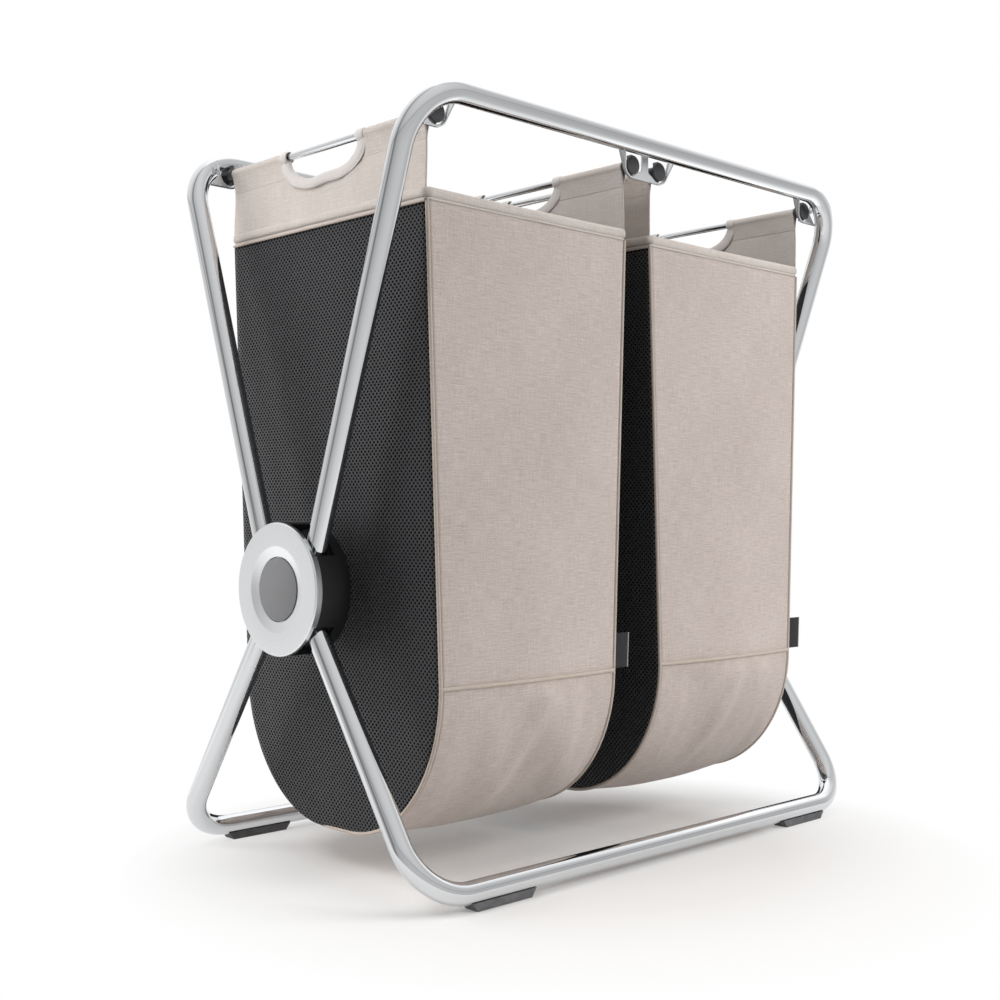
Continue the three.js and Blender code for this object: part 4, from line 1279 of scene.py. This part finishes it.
def makeFlap(end, sideName, x0, toward, seed):
    f = flaps
    profile = flapProfile()
    last = len(profile) - 1
    depth = bagSizes["halfDepth"]
    marks = [-depth, -f["handleHalf"], f["handleHalf"], depth]
    (growFrom, grow), (shrinkTo, shrink) = f["wavesFrom"], f["wavesTo"]

    def place(u, v):
        third = min(2, int(u * 3 + 0.0001))
        y = marks[third] + (marks[third + 1] - marks[third]) * (u * 3 - third)
        out, z = profile[round(v * last)]
        waves = sum(high * wavering(y, z, rates, seed + 7 * i) for i, (high, rates) in enumerate(f["waves"]))
        out += waves * eased((z - growFrom) / grow) * eased((shrinkTo - z) / shrink)
        return Vector((x0 + toward * out, y, z))

    bm = bmesh.new()
    length = lengthsAlong([Vector(point) for point in profile])[-1]
    laidGrid(bm, f["columns"], last, place, (2 * depth, length))
    gone = [face for face in bm.faces if insideHandle(face.calc_center_median(), f["handleCut"])]
    bmesh.ops.delete(bm, geom=gone, context="FACES")
    piece = bagPiece("endFlap", f"{end}_{sideName}", bm, flapCanvas, "flap", sharpAt=60)
    thickened(piece, f["sheet"])


# round the opening's lower edge from one side up to the other, as Y, Z and the way out as an angle
def handlePath():
    f = flaps
    bottom = f["handleBottomZ"]
    wide, tall = f["handleCorner"]
    reach = f["handleHalf"] - wide
    bends, flat = f["handleSteps"]

    def corner(middle, start):
        turns = [start + quarter * i / bends for i in range(bends + 1)]
        return [(middle + wide * math.cos(t), bottom + tall + tall * math.sin(t), t) for t in turns]

    path = corner(-reach, math.pi)
    path += [(reach * (2 * i / flat - 1), bottom, -quarter) for i in range(1, flat)]
    path += corner(reach, -quarter)
    return [(y, z - f["sag"] * bell((y - f["sagAt"]) / f["sagWidth"]), turn) for y, z, turn in path]


tapes = {
    "side": 12.5 * mm,  # width at the opening's sides and below it
    "bottom": 9.8 * mm,
    "sheet": 0.5 * mm,
    # half of its fold, as a share of the width and mm out
    "fold": [(1, 0.9), (1, 1.5), (0.86, 2.2), (0.55, 2.6)]
    + [(0.22, 2.3), (0.02, 1.5), (-0.06, 0.7), (-0.08, 0)],
    "pucker": 0.1,
    "puckerRates": (9, 1),
    "lift": 0.35,
    "liftRates": (22, 1),
    "easeOver": 55 * mm,
    "cuffOut": 0.55 * mm,
    "cuffLip": [(-0.5, 0), (0.2, 0.2), (0.5, 1.2)],  # mm from the cuff's radius and inner end
    "cuffEnd": [(0.4, -1.5), (0, -0.4), (-0.4, 0)],  # the same at its outer end
    "cuffInset": (0.6 * mm, 2 * mm),  # beyond the opening's edge, and within the tape's
    "stitchAt": 0.82,  # share of the width
    "stitchOut": 2.6 * mm,
    "stitchPitch": 2.8 * mm,
}


def tapeSpot(station, share, out, x0, toward):
    y, z, turn = station
    width = tapes["bottom"] + (tapes["side"] - tapes["bottom"]) * abs(math.cos(turn))
    z += math.sin(turn) * share * width
    x = x0 + toward * (flapBase(z, tapes["easeOver"]) + out)
    return Vector((x, y + math.cos(turn) * share * width, z))


# binding tape folded over the edge of the handle's opening
def makeHandleTape(end, sideName, x0, toward, seed):
    t = tapes
    path = handlePath()
    last = len(path) - 1
    section = t["fold"] + [(reach, -lift) for reach, lift in t["fold"][-2::-1]]

    def place(u, v):
        reach, lift = section[round(v * (len(section) - 1))]
        pucker = 1 + t["pucker"] * wavering(u, v, t["puckerRates"], seed)
        out = lift * mm * (1 + t["lift"] * wavering(u, seed, t["liftRates"], 0.3))
        return tapeSpot(path[round(u * last)], reach * pucker, out, x0, toward)

    bm = bmesh.new()
    opening = flaps["handleHalf"]
    laidGrid(bm, last, len(section) - 1, place, (2 * opening + 20 * mm, 2 * t["bottom"]))
    centre = Vector((x0, 0, rods["z"]))
    radius = flaps["sleeveRadius"] + t["cuffOut"]
    inner, outer = opening - t["cuffInset"][0], opening + t["side"] - t["cuffInset"][1]
    cuff = [(radius + out * mm, inner + y * mm) for out, y in t["cuffLip"]]
    cuff += [(radius + out * mm, outer + y * mm) for out, y in t["cuffEnd"]]
    for side in (-1, 1):
        spunProfile(bm, [centre + Vector((0, side * y, out)) for out, y in cuff], centre, (0, 1, 0), 32)
    bmesh.ops.recalc_face_normals(bm, faces=bm.faces)
    piece = bagPiece("handleTape", f"{end}_{sideName}", bm, tape, sharpAt=70)
    thickened(piece, t["sheet"], 1)


# piping under the flap's lower edge and the stitches of sleeve and tape
def makeFlapTrim(end, sideName, x0, toward):
    f, t = flaps, tapes
    depth = bagSizes["halfDepth"]
    where = f"{end}_{sideName}"
    piping = f["piping"]
    bm = bmesh.new()
    x = x0 + toward * piping["out"]
    line = straight(Vector((x, -depth, piping["z"])), Vector((x, depth, piping["z"])), 40)
    cordAlong(bm, line, piping["radius"], piping["sides"])
    bagPiece("flapPiping", where, tidied(bm), pipingCloth)
    bm = bmesh.new()
    normal = Vector((toward, 0, 0))
    x = x0 + toward * f["stitchOut"]
    for side in (-1, 1):
        ends = (f["handleHalf"] + t["side"], depth - 1 * mm)
        start, stop = (Vector((x, side * y, f["stitchZ"])) for y in ends)
        stitchesAlong(bm, straight(start, stop, 11), normal)
    line = [tapeSpot(station, t["stitchAt"], t["stitchOut"], x0, toward) for station in handlePath()]
    stitchesAlong(bm, line, normal, t["stitchPitch"])
    bagPiece("flapStitches", where, bm, thread)


# Bare woven tag, sewn into the corner seam at the front

tags = {
    "width": 22 * mm,
    "height": 37 * mm,
    "bottomZ": 202.5 * mm,
    "gap": 1 * mm,
    "edge": 1.3 * mm,
    "sheet": 1.1 * mm,
    "edgeThicker": 1.15,
    "curl": 0.9 * mm,
    "curlTurn": 2.2,
    "curlBelow": 0.6,  # share of the curl at the tag's lower end
    "rows": 20,
}


def makeTag(sideName, centreX):
    t = tags

    def makeStrip(name, material, fromX, width, columns, thickness, stands=""):
        def place(u, v):
            across, z = fromX + u * width, t["bottomZ"] + v * t["height"]
            curl = t["curl"] * math.sin(across / t["width"] * t["curlTurn"])
            curl *= t["curlBelow"] + (1 - t["curlBelow"]) * v
            x = centreX + halfWidthAt(z) + t["gap"] + across
            return Vector((x, -bagSizes["halfDepth"] - curl, z))

        bm = bmesh.new()
        laidGrid(bm, columns, t["rows"], place, (width, t["height"]))
        thickened(bagPiece(name, sideName, bm, material, stands), thickness)

    main = t["width"] - t["edge"]
    makeStrip("wovenTag", label, 0, main, 14, t["sheet"], "tag")
    makeStrip("tagEdge", labelEdge, main, t["edge"], 2, t["sheet"] * t["edgeThicker"])


def makeBag(sideName, outward, seed):
    centreX = outward * bagSizes["centreX"]
    body = f"bag_{sideName}"
    makeWrap(sideName, centreX, seed)
    makeSeams(sideName, centreX, seed)
    makeHem(sideName, centreX, seed)
    makeTag(sideName, centreX)
    for end, toward in (("outer", outward), ("inner", -outward)):
        x = centreX + toward * bagSizes["halfWidth"]
        makePanel(end, sideName, centreX, toward, seed)
        makeCornerPiping(end, sideName, centreX, toward)
        makeFlap(end, sideName, x, toward, seed + 10 * toward)
        makeHandleTape(end, sideName, x, toward, seed + 10 * toward)
        makeFlapTrim(end, sideName, x, toward)
        makeRod(f"rod_{end}_{sideName}_round", f"rod_{end}_{sideName}", body, x)
        for place, side in (("front", -1), ("rear", 1)):
            where = f"{end}_{place}_{sideName}"
            makePlug(f"finPlug_{where}", f"rod_plug_{where}", body, x, side)


makeBag("left", -1, 1.7)
makeBag("right", 1, 5.3)
print("bags made")


# Rigid solids that stay as they are: only a finish and softened edges

rigidEdges = {"nut": 0.4 * mm, "foot": 0.5 * mm}


def finished(node, material, bevel=0):
    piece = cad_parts[node]
    piece.data.materials.clear()
    piece.data.materials.append(material)
    weld = piece.modifiers.new("weld", "WELD")
    weld.merge_threshold = 0.002 * mm
    if bevel:
        flat = piece.modifiers.new("flat", "DECIMATE")
        flat.decimate_type = "DISSOLVE"
        flat.angle_limit = math.radians(1)
        softened(piece, bevel, 35)


for end in ("left", "right"):
    finished(f"pivot_bolt_{end}", zinc)
    finished(f"pivot_nut_{end}", zinc, rigidEdges["nut"])
    for letter in "ab":
        finished(f"carrier_{letter}_{end}", hubPlastic)
    for place in ("front", "rear"):
        finished(f"foot_{place}_{end}", rubber, rigidEdges["foot"])
print("rigid parts finished")


# Floor, light and camera

studio = {
    "floor": "E5E3E1",
    "floorRadius": 0.75,
    "floorLift": 0.05,  # least share of plain white that the camera sees in the floor
    "fadeCentre": (-0.06, -0.1, 0),
    "fadeFrom": 0.24,
    "fadeTo": 0.47,
    "world": 0.28,
}
white = (1, 1, 1, 1)


# rays that show a background as it is written: what the camera sees directly, in metal and through glass
def seenDirectly(add):
    rays = add("LightPath").node.outputs
    seen = add("Math", [rays["Is Camera Ray"], rays["Is Glossy Ray"]], operation="MAXIMUM")
    return add("Math", [seen, rays["Is Transmission Ray"]], operation="MAXIMUM")


def makeFloor():
    material, add, shade = startMaterial("palePaper")
    tree = material.node_tree
    bm = bmesh.new()
    bmesh.ops.create_circle(bm, cap_ends=True, segments=96, radius=studio["floorRadius"])
    floor = linked("floor", meshFrom("floor", bm, material))
    shade({"Base Color": linear(studio["floor"]), "Roughness": 0.9, "Specular IOR Level": 0.1})
    place = add("TexCoord", output="Object")
    reach = add("VectorMath", [place, studio["fadeCentre"]], "Value", operation="DISTANCE")
    away = add("MapRange", [reach, studio["fadeFrom"], studio["fadeTo"], studio["floorLift"], 1])
    share = add("Math", [away, seenDirectly(add)], operation="MULTIPLY")
    plain = add("Emission", {"Color": white, "Strength": 1})
    mixed = add("MixShader", [share, tree.nodes["Principled BSDF"].outputs["BSDF"], plain])
    feed(tree, tree.nodes["Material Output"], {"Surface": mixed})


def makeWorld():
    world = bpy.data.worlds.new("studio")
    bpy.context.scene.world = world
    world.use_nodes = True
    tree = world.node_tree
    add = partial(addNode, tree)
    strength = add("MapRange", [seenDirectly(add), 0, 1, studio["world"], 1])
    feed(tree, tree.nodes["Background"], {"Color": white, "Strength": strength})


lamps = {
    "sideLamp": {"at": (-1.15, 0.85, 0.55), "to": (-0.28, 0, 0.4), "size": 1, "watts": 12},
    "leftLamp": {"at": (-1.5, 0.1, 1.75), "to": (0.1, 0, 0.65), "size": 0.7, "watts": 12},
    "frontLamp": {"at": (1.25, -2, 1.3), "to": (0.05, 0, 0.35), "size": 1.4, "watts": 46},
    "topLamp": {"at": (0, -0.3, 2.3), "to": (0, 0, 0), "size": 2, "watts": 20},
}


def makeLamp(name, at, to, size, watts):
    lamp = bpy.data.lights.new(name, "AREA")
    lamp.shape = "RECTANGLE"
    lamp.size = lamp.size_y = size
    lamp.energy = watts
    holder = linked(name, lamp)
    holder.location = at
    holder.rotation_euler = (Vector(to) - Vector(at)).to_track_quat("-Z", "Y").to_euler()
    holder.visible_camera = False
    holder.visible_glossy = False


tent = {
    "radius": 5,
    "ahead": (0.698, 0.716, 0),  # from the camera towards the object
    "right": (0.716, -0.698, 0),
    # share of the brightness by height, from straight down (-1) to straight up (1)
    "byHeight": [(-1, 1.4), (-0.5, 1.36), (-0.3, 1.12), (-0.05, 1), (0.2, 0.93), (0.34, 0.97)]
    + [(0.36, 0.6), (0.38, 0.6), (0.4, 1), (0.6, 1.15), (1, 1.3)],
    # brightness by direction, in degrees from ahead, positive to the right
    "byTurn": [(-180, 0.66), (-158, 0.6), (-144, 0.54), (-135, 0.5), (-130, 0.28), (-119, 0.28)]
    + [(-113, 0.6), (-104, 0.64), (-88, 0.82), (-66, 0.86), (-48, 0.95), (-29, 1.05), (15, 1.1)]
    + [(31, 1.15), (50, 1.05), (69, 0.84), (79, 0.62), (90, 0.56), (100, 0.62), (130, 0.68), (180, 0.66)],
    # patches with soft edges: a bright box high on the right, white paper low on the left, a dark gap ahead
    "boxTurn": (24, 30, 62, 68),
    "boxHeight": (0.5, 0.53, 0.61, 0.65),
    "boxLight": 0.25,
    "paperTurn": (-128, -116, -34, -22),
    "paperHeight": (-1.2, -1.1, -0.12, -0.04),
    "paperLight": 0.26,
    "gapTurn": (-12, -8, 20, 25),
    "gapHeight": (-0.75, -0.7, 0.36, 0.41),
    "gapShare": 0.98,
}


# a value that follows stops, each a place and a level; levels are halved in the ramp, which ends at one
def graded(add, source, stops):
    low, high = stops[0][0], stops[-1][0]
    ramp = add("ValToRGB", [add("MapRange", [source, low, high, 0, 1])])
    elements = ramp.node.color_ramp.elements
    for at, level in stops[1:-1]:
        elements.new((at - low) / (high - low))
    for element, (at, level) in zip(elements, stops):
        element.color = (level / 2, level / 2, level / 2, 1)
    return add("Math", [ramp, 2], operation="MULTIPLY")


# one between the middle two of four edges, falling to nothing at the outer two
def between(add, source, edges):
    rising = add("MapRange", [source, edges[0], edges[1], 0, 1])
    falling = add("MapRange", [source, edges[2], edges[3], 1, 0])
    return add("Math", [rising, falling], operation="MULTIPLY")


# cloth tent round the set, seen only in reflections
def makeTent():
    material, add = startMaterial("tentCloth")[:2]
    bm = bmesh.new()
    bmesh.ops.create_icosphere(bm, subdivisions=4, radius=tent["radius"])
    tentObject = linked("tent", meshFrom("tent", bm, material))
    way = add("VectorMath", [add("TexCoord", output="Object")], operation="NORMALIZE")
    ahead, right, up = (
        add("VectorMath", [way, axis], "Value", operation="DOT_PRODUCT")
        for axis in (tent["ahead"], tent["right"], (0, 0, 1))
    )
    turn = add("Math", [add("Math", [right, ahead], operation="ARCTAN2")], operation="DEGREES")

    def patch(name):
        across, upright = between(add, turn, tent[f"{name}Turn"]), between(add, up, tent[f"{name}Height"])
        return add("Math", [across, upright], operation="MULTIPLY")

    byHeight, byTurn = graded(add, up, tent["byHeight"]), graded(add, turn, tent["byTurn"])
    level = add("Math", [byHeight, byTurn], operation="MULTIPLY")
    for name in ("box", "paper"):
        level = add("Math", [patch(name), tent[f"{name}Light"], level], operation="MULTIPLY_ADD")
    clear = add("Math", [patch("gap"), -tent["gapShare"], 1], operation="MULTIPLY_ADD")
    level = add("Math", [level, clear], operation="MULTIPLY")
    glow = add("Emission", {"Color": white, "Strength": level})
    feed(material.node_tree, material.node_tree.nodes["Material Output"], {"Surface": glow})
    for rays in ("camera", "diffuse", "shadow", "transmission"):
        setattr(tentObject, f"visible_{rays}", False)


makeFloor()
makeWorld()
makeTent()
for name, look in lamps.items():
    makeLamp(name, **look)

view = {
    "position": (-1.1630, -1.1399, 0.3656),
    "turn": (90, 0, -44.247),
    "lens": 49.94,
    "shiftY": 0.0158,
}
camera = bpy.data.cameras.new("camera")
camera.lens = view["lens"]
camera.sensor_width = 36
camera.shift_y = view["shiftY"]
camera.clip_start = 0.05
holder = linked("camera", camera)
holder.location = view["position"]
holder.rotation_euler = [math.radians(turn) for turn in view["turn"]]
bpy.context.scene.camera = holder
bpy.context.scene.view_settings.view_transform = "Standard"
print("studio made")
